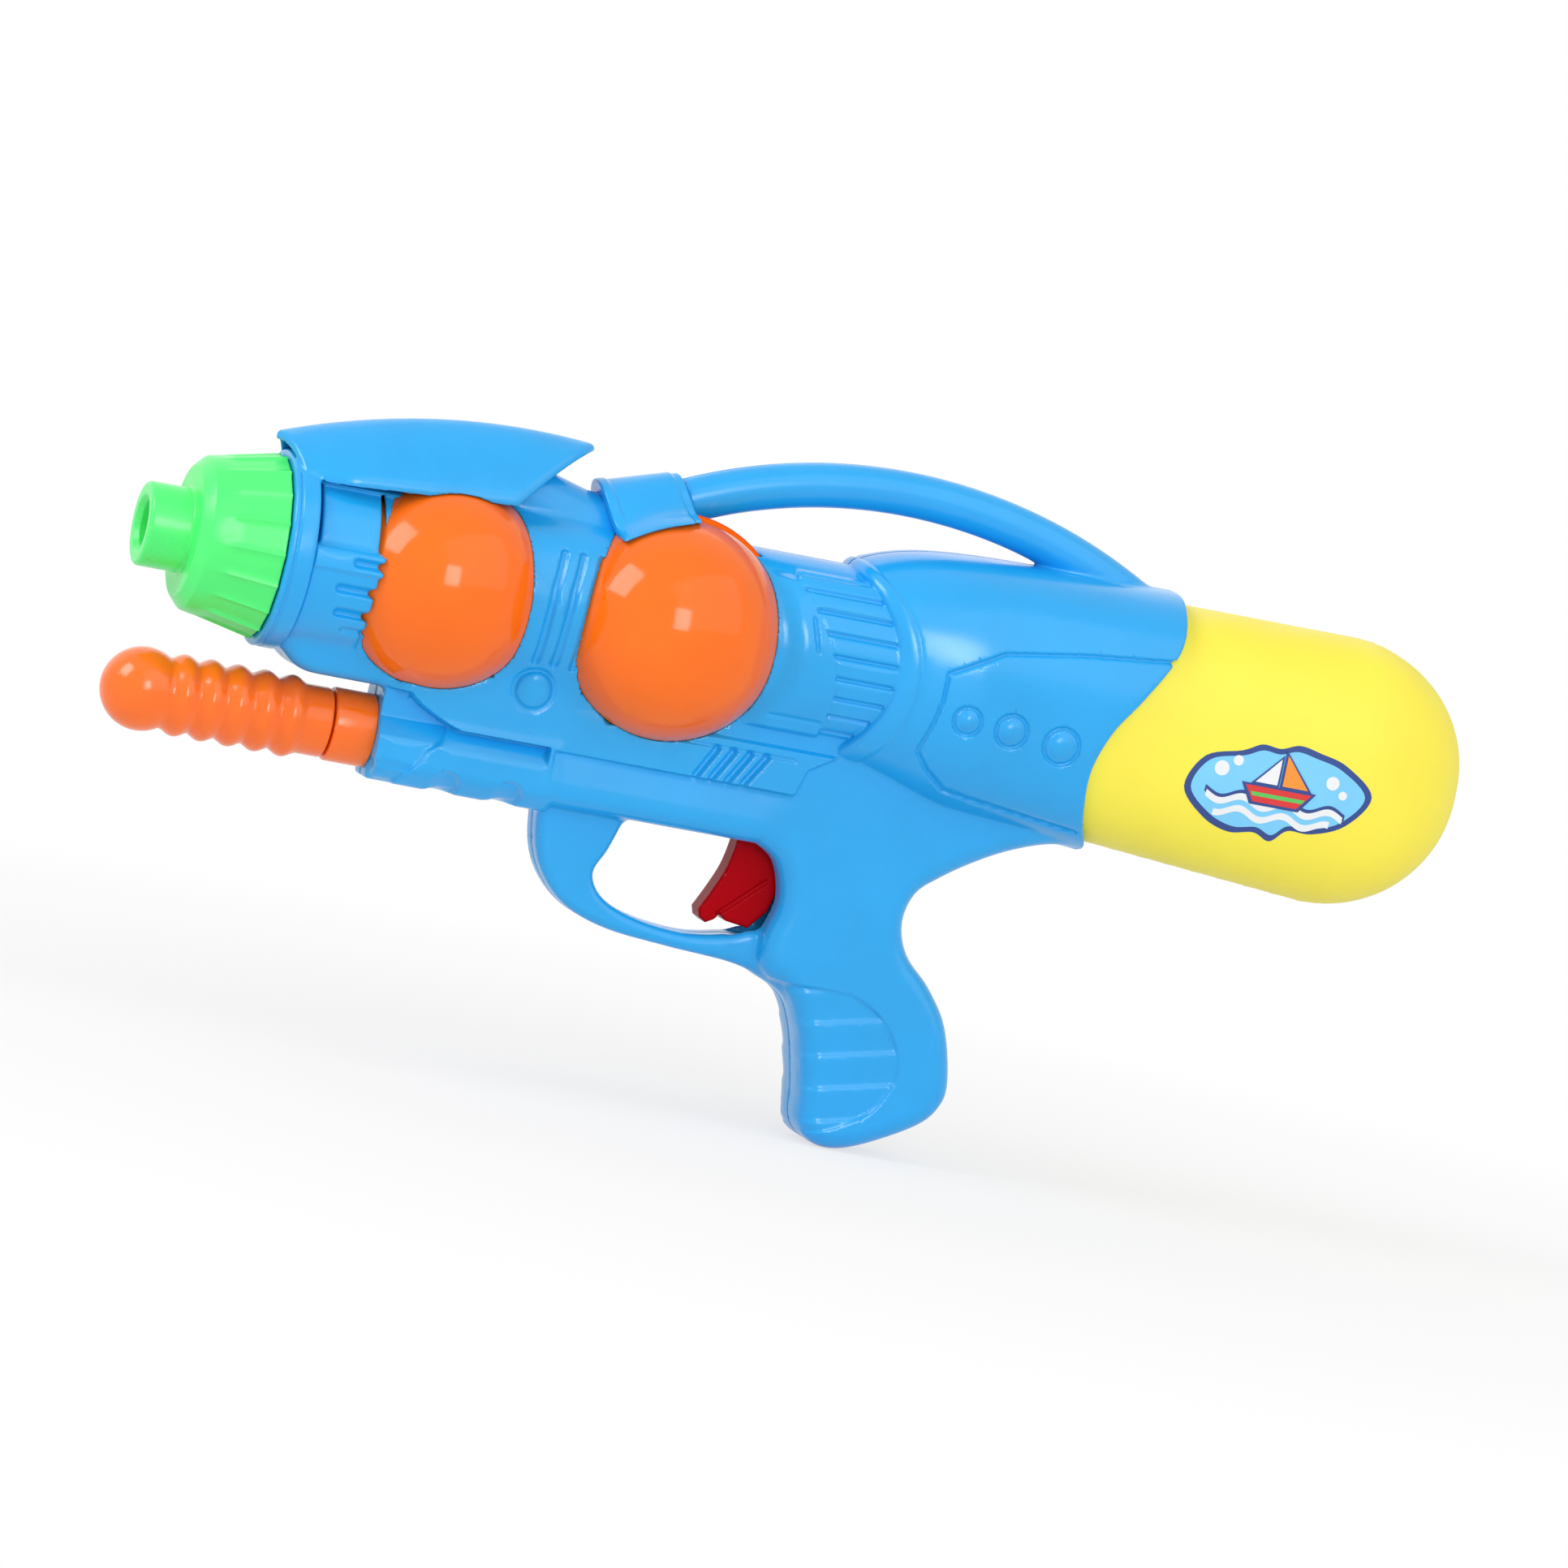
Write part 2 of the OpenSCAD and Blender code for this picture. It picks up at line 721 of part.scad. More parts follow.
module body_outside() {
    bar(front_wall_x - flange_t, sleeve_x + 1, spigot_r);
    bar(sleeve_x, sleeve_end, sleeve_r);
    bar(sleeve_end - 1, tank_x, barrel_r);
    flat_plate(keel_outline, frame_half_w - 2);
    cross_bar(front_dome_x, -dome_drop, front_dome_r - dome_back, rim_t - front_dome_y, front_dome_y - rim_t);
    cross_bar(rear_dome_x, -dome_drop, rear_dome_r - dome_back, rim_t - rear_dome_y, rear_dome_y - rim_t);
    rounded_plate(frame_outline, grip_half_w, edge_r, 2);
    flat_plate(guard_outline, guard_half_w);
    translate([0, 0, pump_z])
        prism(housing_section, housing_x, housing_end_x);
    cross_bar(button_x, button_z, button_r, -grip_half_w - button_t, grip_half_w + button_t);
    shroud();
    handle_bar(tube_r);
    handle_root();
}

// Posts, ribs and walls that stay in the hollow
module inner_posts() {
    for (p = post_places) {
        cross_bar(p[0], p[1], post_r, -far, far);
    }
    cross_bar(pivot[0], pivot[1], pin_r + 2.6, -far, far);
    translate([cradle_x, -far, pump_z - 12])
        cube([cradle_t, 2 * far, 22]);
    translate([valve_cradle_x, -far, -valve_drop - 10])
        cube([valve_cradle_t, 2 * far, 20]);
    translate([front_wall_x, -far, -far])
        cube([front_wall_t, 2 * far, 2 * far]);
    translate([housing_x - 1, -far, pump_z - 12])
        cube([housing_wall_t + 1, 2 * far, 16]);
}

module body_hollow() {
    difference() {
        union() {
            bar(front_wall_x - flange_t - 1, sleeve_x + front_wall_t + 3, spigot_r - wall);
            bar(sleeve_x + front_wall_t + 2, sleeve_end - 1, sleeve_r - wall);
            bar(sleeve_end - 2, tank_x, barrel_r - wall);
            flat_plate(inset(frame_outline, cavity_inset), grip_half_w - wall);
            translate([0, 0, pump_z])
                prism(
                    [for (p = housing_section) p * (1 - wall / housing_half_h)], housing_x, housing_end_x - wall
                );
            tank_pocket();
            handle_bar(tube_r - tube_wall);
        }
        inner_posts();
    }
}

// Room for a dome in the left half
module dome_pocket(x, r, y) {
    cross_bar(x, -dome_drop, r + rim_w + part_gap, -y - part_gap, rim_t - y);
    intersection() {
        translate([x, -y, -dome_drop])
            sphere(r + part_gap);
        translate([x - far, -y - 2 * far, -far])
            cube(2 * far);
    }
}

// Holes for what runs through both halves
module body_bores() {
    bar(housing_x - 2, cylinder_end_x + 1, cylinder_r + part_gap / 2, pump_z);
    bar(valve_x - 1, valve_end_x + valve_cap_t + 1, valve_r + part_gap / 2, -valve_drop);
    bar(slot_end_x - 1, valve_x + 1, stem_head_r, -valve_drop);
    bar(front_wall_x - 1, front_wall_x + front_wall_t + 1, barb_r + 3);
    flat_plate(slot_outline, trigger_half_w + slot_gap);
    cross_bar(pivot[0], pivot[1], hub_r + part_gap, -trigger_half_w - slot_gap, trigger_half_w + slot_gap);
    cross_bar(pivot[0], pivot[1], pin_r + slide_gap / 2, part_gap - pin_reach, pin_reach - part_gap);
}

// The left half without its screw holes; the right half is its mirror image
module half_blank() {
    difference() {
        intersection() {
            body_outside();
            left_space();
        }
        body_hollow();
        dome_pocket(front_dome_x, front_dome_r, front_dome_y);
        dome_pocket(rear_dome_x, rear_dome_r, rear_dome_y);
        body_bores();
    }
}

module left_shell() {
    color(blue)
        placed()
            difference() {
                half_blank();
                for (p = post_places) {
                    cross_bar(p[0], p[1], screw_r + slide_gap / 2, screw_seat - screw_len - screw_tip_room, 1);
                }
            }
}

module right_shell() {
    color(blue)
        placed()
            difference() {
                mirror([0, 1, 0])
                    half_blank();
                for (p = post_places) {
                    cross_bar(p[0], p[1], screw_r + 0.2, -1, screw_seat + 1);
                    cross_bar(p[0], p[1], screw_head_r + part_gap, screw_seat, far);
                }
            }
}

module shell_screws() {
    color(steel)
        placed()
            for (p = post_places) {
                cross_bar(p[0], p[1], screw_r, screw_seat - screw_len, screw_seat + seat_gap);
                cross_bar(p[0], p[1], screw_head_r, screw_seat, screw_seat + screw_head_h);
            }
}

// Muzzle

fin_front = ring_x - 3.3;
fin_peak_x = fin_front + 64;
fin_edge_front = 6;
fin_edge_back = 20;

function fin_ridge(x) = fin_top - fin_rise * pow((x - fin_peak_x) / (fin_peak_x - fin_front), 2);

function fin_edge(x) = 20.5 + 0.065 * (x - fin_front - fin_edge_front);

// A point of the fin at share s of its length and share t of its half width
function fin_point(s, t, drop) =
    let (
        x = mix(fin_front + fin_edge_front * abs(t), fin_tail - fin_edge_back * abs(t), s),
        fall = (fin_ridge(x) - fin_edge(x)) * pow(abs(t), 1.6)
    )
    [x, (fin_half_w - drop / 2) * t * mix(0.82, 1, smooth(4 * s)), fin_ridge(x) - fall - drop];

module fin() {
    shares = [for (k = [-5:5]) k / 5];
    sheet([
        for (k = [0:12])
            concat(
                [for (i = [len(shares) - 1:-1:0]) fin_point(k / 12, shares[i], 0)],
                [for (t = shares) fin_point(k / 12, t, fin_wall)]
            )
    ]);
}

module fin_web() {
    low = max(sleeve_r, front_dome_r - dome_back - dome_drop) + part_gap;
    front_x = ring_x + 1;
    end_x = 84;
    middle_x = (front_x + end_x) / 2;
    web_half_t = 1.2;
    flat_plate(
        [
            [front_x, ring_r - 1], [sleeve_x, ring_r - 1], [sleeve_x, low], [end_x, low],
            [end_x, fin_ridge(end_x) - 1], [middle_x, fin_ridge(middle_x) - 1],
            [front_x, fin_ridge(front_x) - 1]
        ],
        web_half_t
    );
}

module muzzle_hood() {
    hole_r = spout_r + part_gap;
    color(blue)
        placed() {
            turned([
                [ring_x, hole_r], [ring_x, ring_r], [sleeve_x, ring_r], [sleeve_x, spigot_r + seat_gap],
                [flange_x, spigot_r + seat_gap], [flange_x, hole_r]
            ]);
            difference() {
                fin();
                bar(sleeve_x, fin_tail, sleeve_r + seat_gap);
                for (side = [-1, 1]) {
                    translate([front_dome_x, side * front_dome_y, -dome_drop])
                        sphere(front_dome_r + part_gap);
                }
            }
            fin_web();
        }
}

module nozzle_cap() {
    shoulder = 2.6;
    hub_wall = 2.2;
    bore = spout_r + slide_gap;
    slope = atan((cone_base_r - cone_front_r) / cone_len);
    flute_r = 7;
    color(green)
        placed()
            difference() {
                turned([
                    [0, mouth_r], [0, tip_r - 0.8], [0.8, tip_r], [tip_len, tip_r],
                    [tip_len, cone_front_r - shoulder], [tip_len + 0.8, cone_front_r - shoulder / 3],
                    [tip_len + shoulder, cone_front_r + 0.5], [cone_end, cone_base_r],
                    [cone_end, cone_base_r - cap_wall], [spout_x, cone_front_r - cap_wall],
                    [spout_x, bore + hub_wall], [cone_end - 4, bore + hub_wall], [cone_end - 4, bore],
                    [spout_x, bore], [spout_x, jet_r], [tip_len, jet_r], [tip_len, mouth_r]
                ]);
                for (k = [0:flutes - 1]) {
                    rotate([360 * k / flutes, 0, 0])
                        translate([tip_len + 4.5, 0, cone_front_r + 1 + flute_r - flute_depth])
                            rotate([0, 90 - slope, 0])
                                cylinder(h = cone_len, r = flute_r);
                }
            }
}

module nozzle_body() {
    color(white)
        placed()
            turned([
                [spout_x + washer_t + seat_gap, jet_r + 0.6], [spout_x + washer_t + seat_gap, spout_r],
                [flange_x, spout_r],
                [flange_x, spigot_r - wall - part_gap], [flange_x + flange_t, spigot_r - wall - part_gap],
                [flange_x + flange_t, barb_r + 2.4], [jet_barb_x, barb_r + 2.4], [jet_barb_x, barb_r],
                [jet_barb_x + barb_len, barb_r], [jet_barb_x + barb_len, barb_bore_r],
                [jet_barb_x, barb_bore_r], [jet_barb_x, jet_r + 0.6]
            ]);
}

module nozzle_washer() {
    color(black)
        placed()
            turned([
                [spout_x + seat_gap, jet_r + 1], [spout_x + seat_gap, spout_r - 0.4],
                [spout_x + seat_gap + washer_t, spout_r - 0.4], [spout_x + seat_gap + washer_t, jet_r + 1]
            ]);
}

// The collar's underside clears the barrel and the rear domes
module handle_collar() {
    dome_room = rear_dome_r + rim_w + part_gap;
    color(blue)
        placed()
            difference() {
                on_handle_front()
                    difference() {
                        cylinder(h = collar_len - seat_gap, r = tube_r + collar_wall);
                        translate([0, 0, -1])
                            cylinder(h = collar_len + 2, r = tube_r - handle_step + seat_gap);
                    }
                bar(sleeve_end, tank_x, barrel_r + seat_gap);
                cross_bar(rear_dome_x, -dome_drop, rear_dome_r - dome_back + seat_gap, -far, far);
                for (side = [0, 1]) {
                    mirror([0, side, 0]) {
                        cross_bar(
                            rear_dome_x, -dome_drop, dome_room,
                            rear_dome_y - rim_t - seat_gap, rear_dome_y + seat_gap
                        );
                        translate([rear_dome_x, rear_dome_y, -dome_drop])
                            sphere(rear_dome_r + part_gap);
                    }
                }
            }
}

// Domes

module dome(x, r, y, side) {
    color(orange)
        placed()
            mirror([0, side < 0 ? 1 : 0, 0])
                difference() {
                    union() {
                        intersection() {
                            translate([x, y, -dome_drop])
                                sphere(r);
                            translate([x - far, y - 0.5, -far])
                                cube(2 * far);
                        }
                        cross_bar(x, -dome_drop, r + rim_w, y - rim_t, y);
                    }
                    translate([x, y, -dome_drop])
                        sphere(r - dome_wall);
                    cross_bar(x, -dome_drop, r - dome_wall, y - rim_t - 1, y);
                }
}

module front_dome_left() {
    dome(front_dome_x, front_dome_r, front_dome_y, -1);
}

module front_dome_right() {
    dome(front_dome_x, front_dome_r, front_dome_y, 1);
}

module rear_dome_left() {
    dome(rear_dome_x, rear_dome_r, rear_dome_y, -1);
}

module rear_dome_right() {
    dome(rear_dome_x, rear_dome_r, rear_dome_y, 1);
}

// Tank

module tank() {
    color(yellow)
        placed()
            difference() {
                union() {
                    difference() {
                        union() {
                            tank_form(0, tank_x, 40);
                            bar(neck_x, tank_x + 4, neck_bore_r + neck_wall, neck_z);
                        }
                        tank_form(tank_wall, tank_x + tank_wall, 32);
                    }
                    cross_bar(
                        filler_x, filler_z, filler_r + filler_wall, filler_face - filler_len, filler_face
                    );
                }
                bar(neck_x - 1, tank_x + 12, neck_bore_r, neck_z);
                cross_bar(filler_x, filler_z, filler_r, filler_face - filler_len - 1, filler_face + 1);
            }
}

module tank_fitting() {
    color(white)
        placed()
            difference() {
                union() {
                    bar(neck_x - 0.6, tank_x, neck_bore_r - seat_gap, neck_z);
                    bar(fitting_x, neck_x - 0.6, neck_bore_r + neck_wall, neck_z);
                    bar(tank_x - 1, tank_x + barb_len, barb_r, neck_z, -3);
                    for (y = [-barb_y, barb_y]) {
                        bar(fitting_x - barb_len, fitting_x + 1, barb_r, neck_z, y);
                    }
                }
                bar(fitting_x - barb_len - 1, tank_x + 1, barb_bore_r, neck_z, barb_y);
                bar(fitting_x - barb_len - 1, fitting_x + 4, barb_bore_r, neck_z, -barb_y);
                bar(fitting_x + 3, tank_x + barb_len + 1, barb_bore_r, neck_z, -3);
            }
}

module neck_gasket() {
    color(black)
        placed()
            difference() {
                bar(neck_x - 0.6, neck_x, neck_bore_r + neck_wall, neck_z);
                bar(neck_x - 1, neck_x + 1, neck_bore_r, neck_z);
            }
}

module pickup_tube() {
    color(clear)
        placed()
            hose(pickup_route, hose_r, hose_bore_r);
}

module filler_plug() {
    spigot = filler_r - slide_gap;
    groove_y = filler_face - 4;
    color(blue)
        placed()
            difference() {
                union() {
                    cross_bar(filler_x, filler_z, spigot, filler_face - filler_len, filler_face + seat_gap);
                    cross_bar(
                        filler_x, filler_z, filler_r + filler_wall, filler_face, filler_face + plug_head_t
                    );
                }
                difference() {
                    cross_bar(filler_x, filler_z, filler_r + 1, groove_y, groove_y + seal_t);
                    cross_bar(filler_x, filler_z, spigot - seal_groove, groove_y - 1, groove_y + seal_t + 1);
                }
                cross_bar(filler_x, filler_z, spigot - 2.4, filler_face - filler_len - 1, filler_face - 1);
            }
}

module filler_seal() {
    groove_y = filler_face - 4;
    color(black)
        placed()
            difference() {
                cross_bar(filler_x, filler_z, filler_r - slide_gap / 2, groove_y + 0.05, groove_y + seal_t - 0.05);
                cross_bar(
                    filler_x, filler_z, filler_r - slide_gap - seal_groove + press_gap,
                    groove_y - 1, groove_y + seal_t + 1
                );
            }
}

// Pump

module pump_handle() {
    groove_r = rib_r - 0.9;
    swell = [
        for (k = [0:ribs - 1])
            for (t = [0:5])
                let (a = 60 * t)
                [rib_x + (k + t / 6) * rib_pitch, mix(groove_r, rib_r, (1 - cos(a)) / 2)]
    ];
    ball = [
        for (t = [0:11])
            let (a = 12.5 * t)
            [ball_x - ball_r * cos(a), ball_r * sin(a)]
    ];
    color(orange)
        placed()
            turned(
                concat(
                    ball, swell,
                    [
                        [rib_x + ribs * rib_pitch, neck_r], [handle_end_x - 0.8, neck_r],
                        [handle_end_x, neck_r - 0.8], [handle_end_x, rod_r + press_gap],
                        [handle_end_x - socket_len, rod_r + press_gap], [handle_end_x - socket_len, 0]
                    ]
                ),
                pump_z
            );
}

module pump_rod() {
    color(white)
        placed()
            bar(handle_end_x - socket_len, piston_x + piston_t / 2, rod_r, pump_z);
}

module pump_collar() {
    front_t = 2.4;
    color(orange)
        placed()
            turned([
                [collar_x, rod_r + slide_gap], [collar_x, pump_collar_r - 0.6], [collar_x + 0.6, pump_collar_r],
                [housing_x, pump_collar_r], [housing_x, cylinder_r + seat_gap],
                [collar_x + front_t, cylinder_r + seat_gap],
                [collar_x + front_t, rod_r + slide_gap]
            ], pump_z);
}

module pump_cylinder() {
    color(white)
        placed()
            turned([
                [collar_x + 2.6, bore_r], [collar_x + 2.6, cylinder_r], [cylinder_end_x, cylinder_r],
                [cylinder_end_x, barb_r], [cylinder_end_x + barb_len, barb_r],
                [cylinder_end_x + barb_len, barb_bore_r], [cylinder_end_x - cylinder_wall_t, barb_bore_r],
                [cylinder_end_x - cylinder_wall_t, bore_r]
            ], pump_z);
}

module pump_piston() {
    piston_r = bore_r - seat_gap;
    seal_x = piston_x + piston_t / 2 - seal_ring_r;
    color(red)
        placed()
            turned([
                [piston_x, rod_r + press_gap], [piston_x, piston_r], [seal_x, piston_r],
                [seal_x, piston_r - 2 * seal_ring_r], [seal_x + 2 * seal_ring_r, piston_r - 2 * seal_ring_r],
                [seal_x + 2 * seal_ring_r, piston_r], [piston_x + piston_t, piston_r], [piston_x + piston_t, 0],
                [piston_x + piston_t / 2, 0], [piston_x + piston_t / 2, rod_r + press_gap]
            ], pump_z);
}

module piston_seal() {
    color(black)
        placed()
            translate([piston_x + piston_t / 2, 0, pump_z])
                rotate([0, 90, 0])
                    rotate_extrude()
                        translate([bore_r - slide_gap / 2 - seal_ring_r + press_gap, 0])
                            circle(seal_ring_r - press_gap, $fn = 24);
}

module check_valve_body() {
    socket_r = barb_r + seat_gap;
    color(white)
        placed()
            turned([
                [check_x, socket_r], [check_x, check_r], [check_end_x, check_r], [check_end_x, check_chamber_r],
                [check_chamber_x, check_chamber_r], [check_chamber_x, check_seat_r],
                [check_x + barb_len, check_seat_r], [check_x + barb_len, socket_r]
            ], pump_z);
}

module check_valve_cap() {
    x = check_end_x;
    end_x = x + check_cap_t;
    color(white)
        placed()
            turned([
                [x, barb_bore_r], [x, check_r], [end_x, check_r], [end_x, barb_r], [end_x + barb_len, barb_r],
                [end_x + barb_len, barb_bore_r]
            ], pump_z);
}

module check_ball() {
    color(steel)
        placed()
            translate([check_chamber_x + check_ball_r * 0.95, 0, pump_z])
                sphere(check_ball_r);
}

module check_spring() {
    color(steel)
        placed()
            coil(check_chamber_x + 2 * check_ball_r, check_end_x - 0.05, check_coils, check_coil_r, pump_z);
}

// Trigger and valve

module trigger() {
    groove_w = 1.3;
    groove_t = 0.6;
    groove_from = [172.8, -58.6];
    groove_len = 14.5;
    groove_tilt = 43;
    color(red)
        placed()
            difference() {
                union() {
                    flat_plate(trigger_outline, trigger_half_w);
                    cross_bar(pivot[0], pivot[1], hub_r, -trigger_half_w, trigger_half_w);
                }
                cross_bar(pivot[0], pivot[1], pin_r + slide_gap, -far, far);
                for (side = [-1, 1]) {
                    translate([groove_from[0], side * trigger_half_w, groove_from[1]])
                        rotate([0, 180 - groove_tilt, 0])
                            translate([0, -groove_t, -groove_w / 2])
                                cube([groove_len, 2 * groove_t, groove_w]);
                }
            }
}

module trigger_pin() {
    reach = pin_reach - 2 * part_gap;
    color(steel)
        placed()
            cross_bar(pivot[0], pivot[1], pin_r, -reach, reach);
}

module valve_body() {
    color(white)
        placed()
            difference() {
                union() {
                    bar(valve_x, valve_end_x, valve_r, -valve_drop);
                    for (x = [outlet_x, inlet_x]) {
                        translate([x, 0, -valve_drop])
                            cylinder(h = valve_r + port_len, r = barb_r);
                    }
                }
                bar(valve_x - 1, valve_end_x, stem_r + slide_gap, -valve_drop);
                bar(valve_x + valve_gland_len, valve_end_x, outlet_r, -valve_drop);
                bar(valve_seat_x, valve_end_x + 1, chamber_r, -valve_drop);
                for (x = [outlet_x, inlet_x]) {
                    translate([x, 0, -valve_drop])
                        cylinder(h = valve_r + port_len + 1, r = barb_bore_r);
                }
            }
}

module valve_cap() {
    color(white)
        placed()
            bar(valve_end_x, valve_end_x + valve_cap_t, valve_r, -valve_drop);
}

stem_head_x = valve_seat_x + valve_seal_t + 0.2;

module valve_stem() {
    color(red)
        placed() {
            bar(trigger_back_x + part_gap, stem_head_x + seat_gap, stem_r, -valve_drop);
            bar(stem_head_x, stem_head_x + stem_head_t, stem_head_r, -valve_drop);
        }
}

module valve_seal() {
    color(black)
        placed()
            difference() {
                bar(stem_head_x - valve_seal_t, stem_head_x, stem_head_r, -valve_drop);
                bar(stem_head_x - valve_seal_t - 1, stem_head_x + 1, stem_r + press_gap, -valve_drop);
            }
}

module valve_spring() {
    color(steel)
        placed()
            coil(stem_head_x + stem_head_t + 0.05, valve_end_x - 0.05, valve_coils, valve_coil_r, -valve_drop);
}

// Tubes

module air_hose() {
    color(clear)
        placed()
            hose(air_route, hose_r, hose_bore_r);
}

module feed_hose() {
    color(clear)
        placed()
            hose(feed_route, hose_r, hose_bore_r);
}

module jet_hose() {
    color(clear)
        placed()
            hose(jet_route, hose_r, hose_bore_r);
}

left_shell();
right_shell();
muzzle_hood();
handle_collar();
nozzle_cap();
nozzle_body();
nozzle_washer();
front_dome_left();
front_dome_right();
rear_dome_left();
rear_dome_right();
tank();
tank_fitting();
neck_gasket();
pickup_tube();
filler_plug();
filler_seal();
pump_cylinder();
pump_collar();
pump_handle();
pump_rod();
pump_piston();
piston_seal();
check_valve_body();
check_valve_cap();
check_ball();
check_spring();
trigger();
trigger_pin();
valve_body();
valve_cap();
valve_stem();
valve_seal();
valve_spring();
air_hose();
feed_hose();
jet_hose();
shell_screws();
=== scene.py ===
import json
import math

import bmesh
import bpy
import numpy as np
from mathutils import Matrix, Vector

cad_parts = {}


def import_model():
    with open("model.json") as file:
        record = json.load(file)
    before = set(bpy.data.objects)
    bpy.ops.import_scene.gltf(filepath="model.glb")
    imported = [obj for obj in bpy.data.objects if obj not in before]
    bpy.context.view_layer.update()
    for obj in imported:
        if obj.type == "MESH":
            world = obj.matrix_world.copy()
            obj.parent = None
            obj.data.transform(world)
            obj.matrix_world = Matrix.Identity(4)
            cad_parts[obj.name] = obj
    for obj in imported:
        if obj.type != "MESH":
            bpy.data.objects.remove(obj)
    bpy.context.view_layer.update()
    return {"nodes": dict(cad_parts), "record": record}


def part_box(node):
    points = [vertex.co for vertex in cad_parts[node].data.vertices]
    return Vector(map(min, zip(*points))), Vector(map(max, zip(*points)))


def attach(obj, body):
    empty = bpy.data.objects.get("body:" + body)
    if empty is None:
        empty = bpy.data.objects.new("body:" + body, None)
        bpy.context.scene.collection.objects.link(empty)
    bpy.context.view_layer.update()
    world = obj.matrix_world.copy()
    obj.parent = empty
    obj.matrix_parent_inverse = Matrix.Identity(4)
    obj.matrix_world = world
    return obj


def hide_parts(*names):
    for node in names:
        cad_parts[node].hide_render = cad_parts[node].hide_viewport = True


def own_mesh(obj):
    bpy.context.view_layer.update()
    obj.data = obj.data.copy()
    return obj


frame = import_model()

import openvdb
from mathutils import Matrix, Vector
from mathutils.geometry import tessellate_polygon

# Shapes are written in mm from the nozzle's face (x, rearward) and the barrel's axis (z), left is -y.
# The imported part's frame is the same, moved by ORIGIN and in metres.
ORIGIN = np.array([171.1, 0.0, -120.6])
MM = 0.001
FAR = 9.0
STEP = 0.45

BLUE = (0.012, 0.380, 0.840)
GREEN = (0.075, 0.900, 0.185)
ORANGE = (1.0, 0.165, 0.008)
ORANGE_PUMP = (1.0, 0.160, 0.006)
YELLOW = (1.0, 0.850, 0.068)
RED = (0.420, 0.002, 0.006)
WHITE = (0.80, 0.80, 0.78)
CLEAR = (0.70, 0.74, 0.72)
BLACK = (0.015, 0.015, 0.017)
STEEL = (0.58, 0.59, 0.61)
NAVY = (0.020, 0.060, 0.260)
SKY = (0.200, 0.620, 0.950)


def world(points):
    return (np.asarray(points, float) - ORIGIN) * MM


# Curves and distances

def curve(points, steps=6):
    """Smooth curve through points, as a list with steps points from one to the next."""
    out = []
    last = len(points) - 1
    for i in range(last):
        a, b, c, d = (np.array(points[min(max(j, 0), last)], float) for j in (i - 1, i, i + 1, i + 2))
        for k in range(steps):
            t = k / steps
            out.append(
                b + (c - a) * t / 2 + (2 * a - 5 * b + 4 * c - d) * t ** 2 / 2
                + (3 * b - a - 3 * c + d) * t ** 3 / 2
            )
    out.append(np.array(points[last], float))
    return [tuple(p) for p in out]


def mix(a, b, t):
    return a + (b - a) * t


def smooth(t):
    s = np.clip(t, 0, 1)
    return s * s * (3 - 2 * s)


def smin(a, b, k=0.0):
    low = np.minimum(a, b)
    if not k:
        return low
    h = np.maximum(k - np.abs(a - b), 0) / k
    return low - h * h * (k / 4)


def smax(a, b, k=0.0):
    return -smin(-a, -b, k)


def outline_distance(x, z, points):
    """Signed distance on the side view to a closed outline, negative inside."""
    best = None
    sign = None
    for a, b in zip(points, points[1:] + points[:1]):
        ex, ez = b[0] - a[0], b[1] - a[1]
        wx, wz = x - a[0], z - a[1]
        t = np.clip((wx * ex + wz * ez) / max(ex * ex + ez * ez, 1e-9), 0, 1)
        near = (wx - ex * t) ** 2 + (wz - ez * t) ** 2
        above, below = z >= a[1], z < b[1]
        left = ex * wz > ez * wx
        flip = np.where((above & below & left) | (~above & ~below & ~left), -1.0, 1.0)
        best = near if best is None else np.minimum(best, near)
        sign = flip if sign is None else sign * flip
    return (sign * np.sqrt(best)).astype(np.float32)


def line_distance(x, z, points):
    """Distance on the side view to an open line."""
    best = None
    for a, b in zip(points, points[1:]):
        ex, ez = b[0] - a[0], b[1] - a[1]
        wx, wz = x - a[0], z - a[1]
        t = np.clip((wx * ex + wz * ez) / max(ex * ex + ez * ez, 1e-9), 0, 1)
        near = (wx - ex * t) ** 2 + (wz - ez * t) ** 2
        best = near if best is None else np.minimum(best, near)
    return np.sqrt(best).astype(np.float32)


def plate(flat, y, half_w, r):
    """A plate across the mid-plane whose edges are rounded by r."""
    a = flat[:, None, :] + r
    b = np.abs(y) - (half_w - r)
    inside = np.minimum(np.maximum(a, b), 0)
    return inside + np.sqrt(np.maximum(a, 0) ** 2 + np.maximum(b, 0) ** 2) - r


def gauge(y, z, mid, half_h, half_w, u=0.0):
    """Distance, near the surface, to a squarish round section; u draws a closed end in."""
    n = SQUARENESS
    a = np.abs(y) / half_w
    b = np.abs(z - mid) / half_h
    s = np.maximum(a ** n + b ** n, 1e-4)
    g = s ** (1 / n)
    slope = np.hypot(a ** (n - 1) / half_w, b ** (n - 1) / half_h) * g / s
    whole = np.sqrt(g * g + u * u)
    slope = np.hypot(slope * g, u / 34.0) / whole
    return np.clip((whole - 1) / np.maximum(slope, 0.012), -FAR, FAR)


def round_bar(a, b, r, x, y, z, flat=True):
    """A round bar from a to b on the side view (x, z), with flat or round ends."""
    ax, az = b[0] - a[0], b[1] - a[1]
    size = math.hypot(ax, az)
    ax, az = ax / size, az / size
    along = (x - a[0]) * ax + (z - a[1]) * az
    over = (x - a[0]) * -az + (z - a[1]) * ax
    if flat:
        return np.maximum(np.sqrt(over ** 2 + y ** 2) - r, np.abs(along - size / 2) - size / 2)
    past = along - np.clip(along, 0, size)
    return np.sqrt(over ** 2 + past ** 2 + y ** 2) - r


